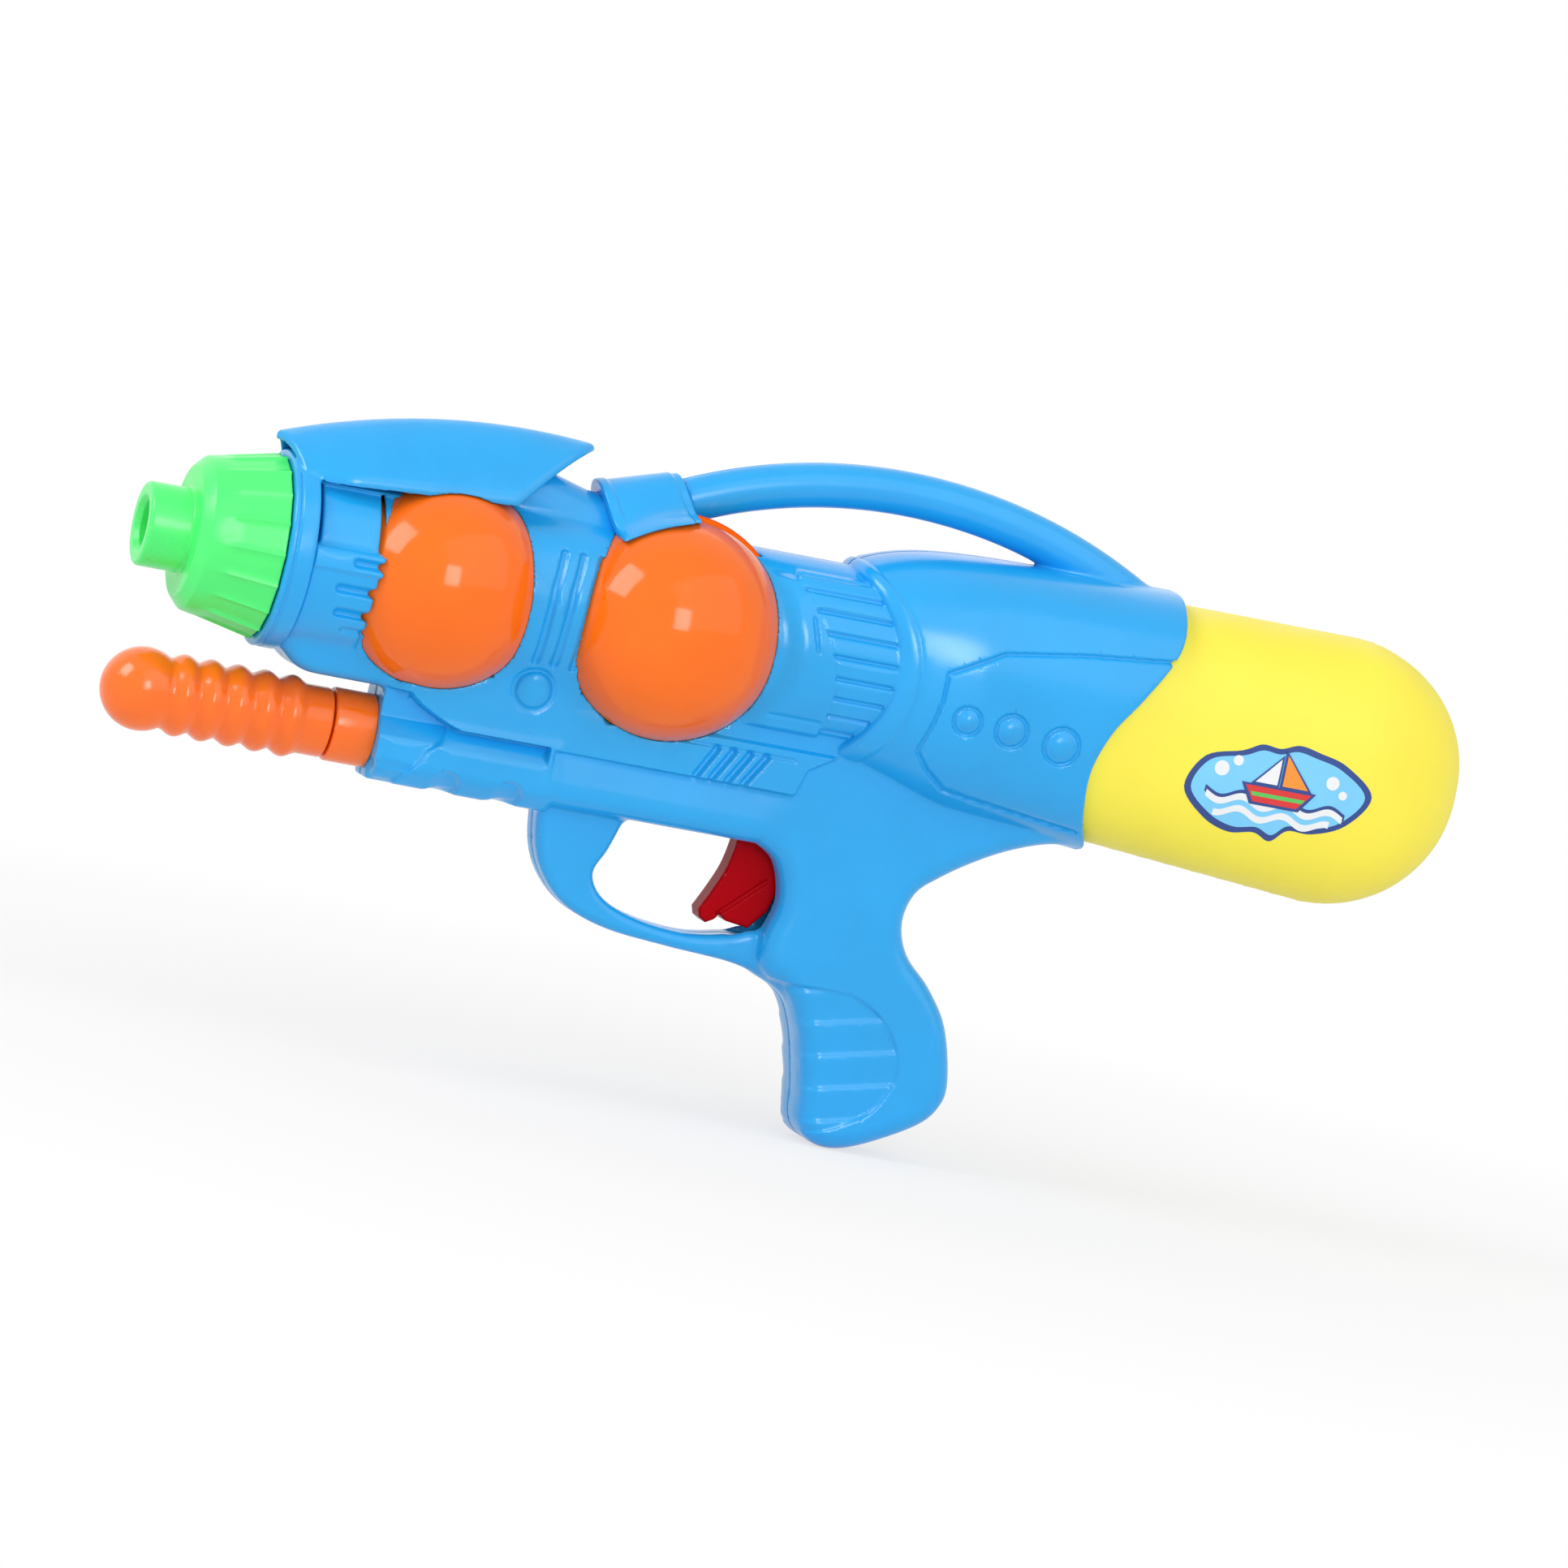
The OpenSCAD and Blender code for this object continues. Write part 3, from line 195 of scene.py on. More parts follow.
def tube(r, x0, half_len, z0=0.0):
    """A round bar along x, as a shape for a field."""
    return lambda x, y, z: np.maximum(np.hypot(y, z - z0) - r, np.abs(x - x0) - half_len)


def cross_bar(x0, z0, r):
    """An endless round bar across the toy, as a shape for a field."""
    return lambda x, y, z: np.hypot(x - x0, z - z0) - r + 0 * y


class Field:
    """A signed distance field on a grid, in mm, negative inside."""

    def __init__(self, low, high, step):
        self.low = np.array(low, np.float32)
        self.step = step
        self.axes = [
            (a + step * np.arange(int(math.ceil((b - a) / step)) + 1)).astype(np.float32)
            for a, b in zip(low, high)
        ]
        self.d = np.full([len(a) for a in self.axes], FAR, np.float32)

    def region(self, *box):
        """Slices and coordinates of the grid inside ((x0, x1), (y0, y1), (z0, z1))."""
        cut = []
        for axis, span in zip(self.axes, box):
            a, b = (axis[0], axis[-1]) if span is None else span
            i, j = np.searchsorted(axis, (a, b))
            cut.append(slice(max(i - 1, 0), j + 1))
        x, y, z = (axis[c] for axis, c in zip(self.axes, cut))
        return tuple(cut), x[:, None, None], y[None, :, None], z[None, None, :]

    def add(self, shape, xs=None, ys=None, zs=None, k=0.0):
        cut, x, y, z = self.region(xs, ys, zs)
        self.d[cut] = smin(self.d[cut], shape(x, y, z), k)

    def cut(self, shape, xs=None, ys=None, zs=None, k=0.0):
        cut, x, y, z = self.region(xs, ys, zs)
        self.d[cut] = smax(self.d[cut], -shape(x, y, z), k)

    def sink(self, depth, xs=None, ys=None, zs=None):
        """Move the surface inwards by depth(x, y, z)."""
        cut, x, y, z = self.region(xs, ys, zs)
        self.d[cut] = self.d[cut] + depth(x, y, z)

    def sample(self, p):
        q = (p - self.low) / self.step
        top = np.array(self.d.shape) - 2
        i = np.clip(np.floor(q).astype(np.int64), 0, top)
        f = (q - i).astype(np.float32)
        total = np.zeros(len(p), np.float32)
        for corner in range(8):
            o = np.array([corner & 1, corner >> 1 & 1, corner >> 2 & 1])
            w = np.prod(np.where(o, f, 1 - f), axis=1)
            total += w * self.d[i[:, 0] + o[0], i[:, 1] + o[1], i[:, 2] + o[2]]
        return total

    def gradient(self, p):
        e = 0.5 * self.step
        out = np.empty((len(p), 3), np.float32)
        for axis in range(3):
            o = np.zeros(3, np.float32)
            o[axis] = e
            out[:, axis] = (self.sample(p + o) - self.sample(p - o)) / (2 * e)
        return out


# Meshes

def finish_piece(name, mesh, body, node, material):
    obj = bpy.data.objects.new(name, mesh)
    bpy.context.scene.collection.objects.link(obj)
    mesh.materials.append(material)
    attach(obj, body)
    if node:
        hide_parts(node)
    return obj


def field_piece(name, field, body, node, material, adapt=0.02, flip_y=False):
    """A mesh of the field's surface, with its normals from the field."""
    band = 3 * field.step
    grid = openvdb.FloatGrid(band)
    grid.copyFromArray(np.clip(field.d, -band, band))
    points, tris, quads = grid.convertToPolygons(isovalue=0.0, adaptivity=adapt)
    p = points.astype(np.float32) * field.step + field.low
    for _ in range(3):
        g = field.gradient(p)
        size = np.maximum((g * g).sum(axis=1), 0.05)
        shift = np.clip(field.sample(p) / size, -field.step, field.step)
        p = p - g * shift[:, None]
    normals = field.gradient(p)
    normals /= np.maximum(np.linalg.norm(normals, axis=1), 1e-6)[:, None]
    tris, quads = np.asarray(tris, np.int64), np.asarray(quads, np.int64)
    a, b, c = (p[quads[:, j]] for j in (0, 1, 2))
    facing = np.einsum("ij,ij->i", np.cross(b - a, c - a), normals[quads[:, 0]]).sum()
    if (facing < 0) != flip_y:
        tris, quads = tris[:, ::-1], quads[:, ::-1]
    if flip_y:
        p[:, 1] *= -1
        normals[:, 1] *= -1
    corners = np.concatenate([tris.ravel(), quads.ravel()]).astype(np.int32)
    starts = np.concatenate([
        3 * np.arange(len(tris)), 3 * len(tris) + 4 * np.arange(len(quads))
    ]).astype(np.int32)
    mesh = bpy.data.meshes.new(name)
    mesh.vertices.add(len(p))
    mesh.vertices.foreach_set("co", world(p).astype(np.float32).ravel())
    mesh.loops.add(len(corners))
    mesh.loops.foreach_set("vertex_index", corners)
    mesh.polygons.add(len(starts))
    mesh.polygons.foreach_set("loop_start", starts)
    mesh.update(calc_edges=True)
    mesh.shade_smooth()
    mesh.normals_split_custom_set_from_vertices(normals.astype(float).tolist())
    return finish_piece(name, mesh, body, node, material)


def bmesh_piece(name, bm, body, node, material, sharp=32):
    bmesh.ops.recalc_face_normals(bm, faces=bm.faces)
    for face in bm.faces:
        face.smooth = True
    for edge in bm.edges:
        if len(edge.link_faces) == 2 and edge.calc_face_angle(0) > math.radians(sharp):
            edge.smooth = False
    mesh = bpy.data.meshes.new(name)
    bm.to_mesh(mesh)
    bm.free()
    return finish_piece(name, mesh, body, node, material)


def rounded(profile, radii, steps=5):
    """A closed profile of (x, r) with its corners rounded by radii, 0 for a sharp one."""
    out = []
    n = len(profile)
    for i, (point, r) in enumerate(zip(profile, radii)):
        p = np.array(point, float)
        if not r:
            out.append(tuple(p))
            continue
        a = np.array(profile[i - 1], float) - p
        b = np.array(profile[(i + 1) % n], float) - p
        a, b = a / np.linalg.norm(a), b / np.linalg.norm(b)
        half = math.acos(np.clip(a @ b, -1, 1)) / 2
        reach = r / math.tan(half)
        middle = p + (a + b) / np.linalg.norm(a + b) * r / math.sin(half)
        start, end = p + a * reach - middle, p + b * reach - middle
        turn = math.atan2(start[0] * end[1] - start[1] * end[0], start @ end)
        for k in range(steps + 1):
            t = turn * k / steps
            c, s = math.cos(t), math.sin(t)
            out.append(tuple(middle + (start[0] * c - start[1] * s, start[0] * s + start[1] * c)))
    return out


def lathe(name, profile, axis_z, turns, body, node, material, shape=None, place=None, sharp=32):
    """Turn a closed profile of (x, r); shape(x, r, angle) may change a radius, place may move a point."""
    bm = bmesh.new()
    rings = []
    for x, r in profile:
        ring = []
        for k in range(turns):
            a = 2 * math.pi * k / turns
            rr = shape(x, r, a) if shape else r
            point = (x, -rr * math.cos(a), axis_z + rr * math.sin(a))
            point = place(point) if place else point
            ring.append(bm.verts.new(world(point)))
        rings.append(ring)
    for one, two in zip(rings, rings[1:] + rings[:1]):
        for k in range(turns):
            j = (k + 1) % turns
            bm.faces.new((one[k], one[j], two[j], two[k]))
    bmesh.ops.remove_doubles(bm, verts=bm.verts, dist=2e-7)
    bmesh.ops.dissolve_degenerate(bm, edges=bm.edges, dist=1e-7)
    return bmesh_piece(name, bm, body, node, material, sharp)


# Materials

def material_base(name):
    material = bpy.data.materials.new(name)
    material.use_nodes = True
    tree = material.node_tree
    return material, tree, tree.nodes["Principled BSDF"]


def noise(tree, coords, scale, detail=3.0, rough=0.55):
    node = tree.nodes.new("ShaderNodeTexNoise")
    node.inputs["Scale"].default_value = scale
    node.inputs["Detail"].default_value = detail
    node.inputs["Roughness"].default_value = rough
    tree.links.new(coords, node.inputs["Vector"])
    return node.outputs["Fac"]


def remap(tree, value, low, high, from_low=0.3, from_high=0.7):
    node = tree.nodes.new("ShaderNodeMapRange")
    node.inputs["From Min"].default_value = from_low
    node.inputs["From Max"].default_value = from_high
    node.inputs["To Min"].default_value = low
    node.inputs["To Max"].default_value = high
    tree.links.new(value, node.inputs["Value"])
    return node.outputs["Result"]


def blend_colors(tree, factor, one, two):
    node = tree.nodes.new("ShaderNodeMix")
    node.data_type = "RGBA"
    for socket, value in ((node.inputs[6], one), (node.inputs[7], two)):
        if isinstance(value, tuple):
            socket.default_value = (*value, 1)
        else:
            tree.links.new(value, socket)
    tree.links.new(factor, node.inputs[0])
    return node.outputs[2]


def tone(color, factor):
    return tuple(min(1.0, c * factor) for c in color)


def plastic(name, color, rough=(0.30, 0.42), grain=2600, grain_height=0.00002, wear=0.25,
            ripple=0.00003, specular=0.5, swirl=0.05):
    """Moulded plastic: faint flow marks in the colour, a fine grain, rubbed edges and uneven gloss."""
    material, tree, shader = material_base(name)
    links = tree.links
    coords = tree.nodes.new("ShaderNodeTexCoord").outputs["Object"]
    flow = noise(tree, coords, 34, 4)
    base = blend_colors(tree, remap(tree, flow, 0, 1), tone(color, 1 - swirl), tone(color, 1 + swirl))
    geometry = tree.nodes.new("ShaderNodeNewGeometry")
    edge = remap(tree, geometry.outputs["Pointiness"], 0, wear, 0.53, 0.62)
    patchy = tree.nodes.new("ShaderNodeMath")
    patchy.operation = "MULTIPLY"
    links.new(edge, patchy.inputs[0])
    links.new(remap(tree, noise(tree, coords, 220, 3), 0.3, 1), patchy.inputs[1])
    pale = tuple(mix(c, 1.0, 0.35) for c in color)
    links.new(blend_colors(tree, patchy.outputs[0], base, pale), shader.inputs["Base Color"])
    scuffs = noise(tree, coords, 75, 5, 0.65)
    links.new(remap(tree, scuffs, rough[0], rough[1]), shader.inputs["Roughness"])
    fine = tree.nodes.new("ShaderNodeBump")
    fine.inputs["Strength"].default_value = 1.0
    fine.inputs["Distance"].default_value = grain_height
    links.new(noise(tree, coords, grain, 2), fine.inputs["Height"])
    wide = tree.nodes.new("ShaderNodeBump")
    wide.inputs["Strength"].default_value = 1.0
    wide.inputs["Distance"].default_value = ripple
    links.new(noise(tree, coords, 110, 2, 0.4), wide.inputs["Height"])
    links.new(fine.outputs["Normal"], wide.inputs["Normal"])
    links.new(wide.outputs["Normal"], shader.inputs["Normal"])
    shader.inputs["Specular IOR Level"].default_value = specular
    return material


def metal(name, color):
    """Plated steel with fine turning marks."""
    material, tree, shader = material_base(name)
    coords = tree.nodes.new("ShaderNodeTexCoord").outputs["Object"]
    marks = noise(tree, coords, 900, 4)
    base = blend_colors(tree, remap(tree, marks, 0, 1), tone(color, 0.85), tone(color, 1.1))
    tree.links.new(base, shader.inputs["Base Color"])
    tree.links.new(remap(tree, marks, 0.22, 0.38), shader.inputs["Roughness"])
    bump = tree.nodes.new("ShaderNodeBump")
    bump.inputs["Distance"].default_value = 0.00001
    tree.links.new(marks, bump.inputs["Height"])
    tree.links.new(bump.outputs["Normal"], shader.inputs["Normal"])
    shader.inputs["Metallic"].default_value = 1.0
    return material


def tubing(name, color):
    """Milky flexible tube."""
    material = plastic(name, color, (0.2, 0.35), 1800, 0.00001, 0.0, swirl=0.04)
    shader = material.node_tree.nodes["Principled BSDF"]
    shader.inputs["Transmission Weight"].default_value = 0.35
    shader.inputs["IOR"].default_value = 1.43
    return material


blue = plastic("blue_plastic", BLUE, (0.16, 0.27), wear=0.08)
green = plastic("green_plastic", GREEN, (0.24, 0.36), wear=0.25)
orange = plastic("orange_gloss", ORANGE, (0.07, 0.15), 1500, 0.000004, 0.1, ripple=0.00001, specular=0.30)
orange_pump = plastic("orange_plastic", ORANGE_PUMP, (0.13, 0.22), wear=0.15)
yellow = plastic("yellow_tank", YELLOW, (0.42, 0.55), 1400, 0.00002, 0.0, ripple=0.00006, swirl=0.025)
red = plastic("red_plastic", RED, (0.2, 0.3), wear=0.1, specular=0.03)
white = plastic("white_plastic", WHITE, (0.40, 0.55), swirl=0.03)
clear = tubing("milky_tube", CLEAR)
seal = plastic("rubber", BLACK, (0.6, 0.8), 3200, 0.00003, 0.1, swirl=0.15)
steel = metal("plated_steel", STEEL)
SLOTS = {
    "blue": blue, "green": green, "orange": orange, "orange_pump": orange_pump, "yellow": yellow,
    "red": red, "white": white, "clear": clear, "seal": seal, "steel": steel,
}
for row in frame["record"]["subparts"]:
    carried = frame["nodes"][row["node"]]
    carried.data.materials.clear()
    carried.data.materials.append(SLOTS[row["material_slot"]])


# Outlines on the side view

def grip_z(share):
    return -80.8 - 39.8 * share


FRAME_LINE = (
    [(68, -10), (68, -49.2), (161.5, -49.2)]
    + curve([
        (167, -49.2), (172.6, -53), (175.4, -61.8), (173.6, -70.5), (173.4, -77), (176, grip_z(0)),
        (181.4, grip_z(0.07)), (186.7, grip_z(0.3)), (190.3, grip_z(0.65)), (191.5, grip_z(0.86)),
        (195.2, grip_z(0.97)), (201.4, grip_z(0.998)), (209.6, grip_z(0.935)), (221.9, grip_z(0.765)),
        (226.8, grip_z(0.62)), (227.6, grip_z(0.45)), (224, grip_z(0.125)), (217.8, -76.8), (210.6, -69.8),
        (207.7, -62), (209.4, -54.4), (215, -49.2), (222, -44.4), (230, -40.0), (239, -36.6), (246, -35.4),
    ], 5)
    + [(246, -24), (232, -10)]
)
GUARD_LINE = curve([
    (111.2, -48), (112.6, -58.8), (116.3, -66.8), (123.6, -73.4), (135, -77.2), (151.5, -78.8),
    (170, -80.2), (184, -85),
], 5) + curve([
    (184, -76), (173, -71), (166, -72.9), (155.7, -74.6), (143.2, -73.6), (133, -70.2), (128.7, -64.4),
    (131.2, -57.8), (133.4, -50.5), (133.5, -46),
], 5)
TRIGGER_LINE = curve([(163.4, -46), (163.4, -50.4), (162.2, -56.8), (159.8, -62.8), (157.2, -68.2)], 5) + [
    (157.8, -70.2), (159.6, -71.3), (161.6, -70.2), (162.8, -68.8), (164.6, -70), (170.6, -70.8),
] + curve([(174.6, -66), (176.1, -60), (176.1, -52), (173.4, -46)], 5)
SLOT_LINE = [(161.5, -45), (161.5, -60), (165, -73), (181, -73), (184, -68), (184, -45)]
KEEL_LINE = curve([(38.9, -23), (42, -26), (45.9, -27.7), (50, -28)], 4) + [
    (68.5, -28), (68.5, -15), (38.9, -15),
]
SHROUD_BACK = curve([
    (264, 40), (262, 29), (259.6, 18), (251.6, 5), (245, -5), (242, -16), (244.6, -28), (250, -36), (256, -46),
], 6) + [(320, -46), (320, 40)]
BARREL_R, SLEEVE_R, WALL = 22.4, 23.2, 2.2
PUMP_BORE_R, VALVE_BORE_R = 7.75, 7.55
TANK_TOP, TANK_HALF_W, TANK_ROUND_X, TANK_WALL = 28, 27, 310, 1.6
SQUARENESS = 2.4
NECK_Z = -4
FILLER = (290, 2)
PIVOT = (168.5, -44.5)
FRONT_DOME = (75.5, 4.6, 26.2)
REAR_DOME = (134.0, 8.0, 27.9)
DOME_Z = -1.0
PUMP_Z = -40.0
VALVE_Z = -56.5
SCREWS = [(46.5, -14), (104, 12), (104.5, -28), (150, -29.5), (168, 8), (197, 16), (196, -75), (206, -108)]
ARCH = (189.0, -90.8, 133.0)
ARCH_END = math.radians(60)
SLOPE = math.asin((ARCH[0] - REAR_DOME[0]) / ARCH[2])
HANDLE_FRONT = (REAR_DOME[0], ARCH[1] + ARCH[2] * math.cos(SLOPE))
HANDLE_WAY = (-math.cos(SLOPE), -math.sin(SLOPE))


def on_handle(t):
    return HANDLE_FRONT[0] + HANDLE_WAY[0] * t, HANDLE_FRONT[1] + HANDLE_WAY[1] * t


def tank_low(x):
    return 34.2 + 5 * (np.minimum(x, TANK_ROUND_X) - 250) / 60


def tank_shape(x, y, z, grow=0.0):
    low = tank_low(x)
    mid = (TANK_TOP - low) / 2
    u = np.maximum((x - TANK_ROUND_X) / 33.97, 0)
    draw = 1 - 0.22 * (1 - np.sqrt(np.clip(1 - (1 - np.clip((x - 206) / 8, 0, 1)) ** 2, 0, 1)))
    body = gauge(y, z, mid, (TANK_TOP + low) / 2 * draw, TANK_HALF_W * draw, u) - grow
    return np.maximum(body, 206 - grow - x)


def shroud_shape(x, y, z):
    t = smooth((x - 176) / 38)
    top = 31.0 - 8.5 * np.exp((177 - x) / 13)
    low = mix(26.4, tank_low(x) + 2.6, t)
    return gauge(y, z, (top - low) / 2, (top + low) / 2, mix(23.4, 29.6, t))


# Moulded halves: outside, drawn for the left half up to a little past the mid-plane

HALF_BOX = (33.5, -31.5, -122.5), (268.5, 0.9, 50.0)
half = Field(*HALF_BOX, STEP)


def add_outside(f):
    f.add(tube(BARREL_R, 130.5, 75.5), (50, 212), None, (-30, 30))
    f.add(lambda x, y, z: smax(np.hypot(y, z) - SLEEVE_R, np.abs(x - 47.45) - 8.55, 0.8),
          (33, 62), None, (-32, 32))
    f.add(tube(22.0, 37.3, 2.7), (33, 44), None, (-26, 26))
    cut, x, y, z = f.region((33, 76), None, (-36, -8))
    keel = plate(outline_distance(x[:, 0], z[:, 0], KEEL_LINE), y, 11, 4)
    f.d[cut] = smin(f.d[cut], keel, 3)
    for x0, y0, r in (FRONT_DOME, REAR_DOME):
        f.add(lambda x, y, z: np.maximum(np.hypot(x - x0, z - DOME_Z) - (r - 1.4), np.abs(y) - (y0 - 1.6)),
              (x0 - r - 2, x0 + r + 2), None, (-30, 30))
    cut, x, y, z = f.region((62, 248), None, (-122.5, -2))
    flat = outline_distance(x[:, 0], z[:, 0], FRAME_LINE)
    f.d[cut] = smin(f.d[cut], plate(flat, y, 13.5, 5), 4)
    cut, x, y, z = f.region((104, 192), None, (-92, -40))
    flat = outline_distance(x[:, 0], z[:, 0], GUARD_LINE)
    f.d[cut] = smin(f.d[cut], plate(flat, y, 6.5, 2.4), 3)


def housing_shape(x, y, z):
    """The pump's housing under the frame."""
    dz = np.abs(z - PUMP_Z)
    ay = np.abs(y)
    sides = smax(smax(ay - 13.8, dz - 11.2, 1.0), (ay + dz - 20.0) * 0.7071, 1.2)
    return smax(sides, np.abs(x - 89.75) - 23.25, 1.2)


def handle_shape(x, y, z):
    dx, dz = x - ARCH[0], z - ARCH[1]
    ring = np.sqrt((np.hypot(dx, dz) - ARCH[2]) ** 2 + y ** 2) - 5.6
    rear = dx * math.sin(ARCH_END) - dz * math.cos(ARCH_END)
    return np.maximum(np.maximum(ring, rear), dx * HANDLE_WAY[0] + dz * HANDLE_WAY[1])


def add_upper(f):
    f.add(housing_shape, (60, 118), None, (-56, -24), 1.0)
    cut, x, y, z = f.region((166, 268.5), None, (-45, 36))
    shroud = shroud_shape(x, y, z)
    front = 32.3 - np.hypot(x - 161.3, z + 3)
    shroud = smax(shroud, front, 2.4)
    back = -outline_distance(x[:, 0], z[:, 0], SHROUD_BACK)[:, None, :]
    shroud = smax(shroud, back, 1.2)
    f.d[cut] = smin(f.d[cut], shroud, 0.8)
    bead = smax(shroud_shape(x, y, z) - 0.35, 29.6 - np.hypot(x - 159, z + 1.5), 4.0)
    f.d[cut] = smin(f.d[cut], smax(bead, np.hypot(x - 161.3, z + 3) - 33.4, 1.0), 0.3)
    f.add(handle_shape, (128, 264), (-16, 1), (14, 50), 1.2)
    f.add(lambda x, y, z: round_bar(on_handle(-1), on_handle(22), 5.3, x, y, z),
          (108, 140), (-12, 1), (14, 42))
    f.add(lambda x, y, z: round_bar(on_handle(19.4), on_handle(43.4), 7.2, x, y, z),
          (84, 124), (-16, 1), (4, 40), 2.0)
    f.add(lambda x, y, z: round_bar((114, 18.2), (92, 24.2), 8.4, x, y, z, False),
          (80, 128), (-20, 1), (4, 40), 2.0)


# Relief on the sides: grooves, panels, ridges and bumps, as depths on the side view

def groove(f, points, half_w, depth):
    xs = [p[0] for p in points]
    zs = [p[1] for p in points]
    m = half_w + 1.5
    cut, x, y, z = f.region((min(xs) - m, max(xs) + m), None, (min(zs) - m, max(zs) + m))
    near = line_distance(x[:, 0], z[:, 0], points)
    sunk = depth * smooth(1.25 - near / half_w)
    side = smooth((-y - 2.5) / 2.5)
    f.d[cut] += (sunk[:, None, :] * side).astype(np.float32)


def panel(f, points, depth, soft):
    xs = [p[0] for p in points]
    zs = [p[1] for p in points]
    cut, x, y, z = f.region((min(xs) - 2, max(xs) + 2), None, (min(zs) - 2, max(zs) + 2))
    inside = outline_distance(x[:, 0], z[:, 0], points)
    sunk = depth * smooth(0.5 - inside / soft)
    side = smooth((-y - 2.5) / 2.5)
    f.d[cut] += (sunk[:, None, :] * side).astype(np.float32)


def boss(f, x0, z0, r, height, ring_r, ring_depth=0.5):
    """A low round bump with a groove round it."""
    cut, x, y, z = f.region((x0 - ring_r - 2, x0 + ring_r + 2), None, (z0 - ring_r - 2, z0 + ring_r + 2))
    away = np.hypot(x[:, 0] - x0, z[:, 0] - z0)
    raised = height * np.clip(1 - (away / r) ** 2, 0, 1) ** 0.6
    ring = ring_depth * smooth(1.3 - np.abs(away - ring_r) / 0.55)
    side = smooth((-y - 5) / 3)
    f.d[cut] += ((ring - raised)[:, None, :] * side).astype(np.float32)


RIB_Z = [-20.6, -15.1, -7.3, 0.7, 5.9, 13.5, 18.2]
RIB_FRONT = [174.5, 175, 174.7, 172.6, 170, 165.1, 161.5]
RIB_BACK = [184.6, 186.2, 187.8, 188.4, 188, 185.6, 182.4]


def add_housing_relief(f):
    """Slanted upper faces under the frame's ledge, a slimmer front part and thumb marks."""
    cut, x, y, z = f.region((62, 116), None, (-54, -22))
    x2, z2 = x[:, 0], z[:, 0]
    ledge = np.interp(x2, [66, 71.9, 75.2, 79.1, 82.9, 86, 110],
                      [-27.6, -27.6, -30.2, -32.2, -33.9, -34.8, -34.8])
    under = smooth((ledge - z2) / 0.5 + 0.5) * smooth((109.9 - x2) / 0.7)
    crease = np.interp(z2, [-50.5, -44.4, -41, -38.9, -35.2], [72.8, 77.5, 79.2, 81.9, 83.2])
    front = smooth((crease - x2) / 0.9 + 0.5)
    slope = np.clip((z2 + 39.5) * 0.75, 0, 3.6)
    reach = 13.75 - under * (slope + 1.15 * front) + 5 * (1 - under)
    f.d[cut] = smax(f.d[cut], (0.85 * (-y - reach[:, None, :])).astype(np.float32), 0.25)
    side = smooth((-y - 5) / 3)
    lower = 0.8 * front * smooth((-45 - z2) / 2)
    for x0, z0 in ((85.2, -49.2), (101.3, -48.8)):
        away = np.hypot(x2 - x0, z2 - z0)
        lower = lower + 1.3 * smooth((4.2 - away) / 0.9) * smooth((x2 - x0 + 4.5) / 6)
    f.d[cut] += (lower[:, None, :] * side).astype(np.float32)
    for x0 in (85.0, 100.5):
        f.cut(lambda x, y, z: np.sqrt((x - x0) ** 2 + 0.2 * (np.abs(y) - 9) ** 2 + (z + 55.6) ** 2) - 5.4,
              (x0 - 8, x0 + 8), None, (-58, -46), 1.0)


def add_frame_relief(f):
    """A raised band along the frame with a notched rear end, slanted cuts and a slope under it."""
    cut, x, y, z = f.region((90, 184), None, (-37.5, -22))
    band = [(80, -35.4), (172.4, -35.6), (174.6, -28.8), (181.5, -24.4), (80, -24.4)]
    inside = outline_distance(x[:, 0], z[:, 0], band)
    raised = 1.25 * smooth(0.5 - inside / 0.5) * smooth((x[:, 0] - 108) / 40)
    f.d[cut] -= (raised[:, None, :] * smooth((-y - 4) / 2)).astype(np.float32)
    cut, x, y, z = f.region((108, 178), None, (-46, -33))
    x2, z2 = x[:, 0], z[:, 0]
    sunk = np.clip((z2 + 43) / 7.4, 0, 1) * smooth((-35.2 - z2) / 0.5) * smooth((x2 - 110.4) / 0.6)
    sunk = sunk * smooth((177 - x2) / 16)
    f.d[cut] += (1.1 * sunk[:, None, :] * smooth((-y - 5) / 2)).astype(np.float32)
    groove(f, [(138, -26.9), (170.5, -26.9)], 0.5, 0.5)
    for k in range(4):
        groove(f, [(150.6 + 4.3 * k, -27.4), (146.6 + 4.1 * k, -34.8)], 1.0, 1.3)


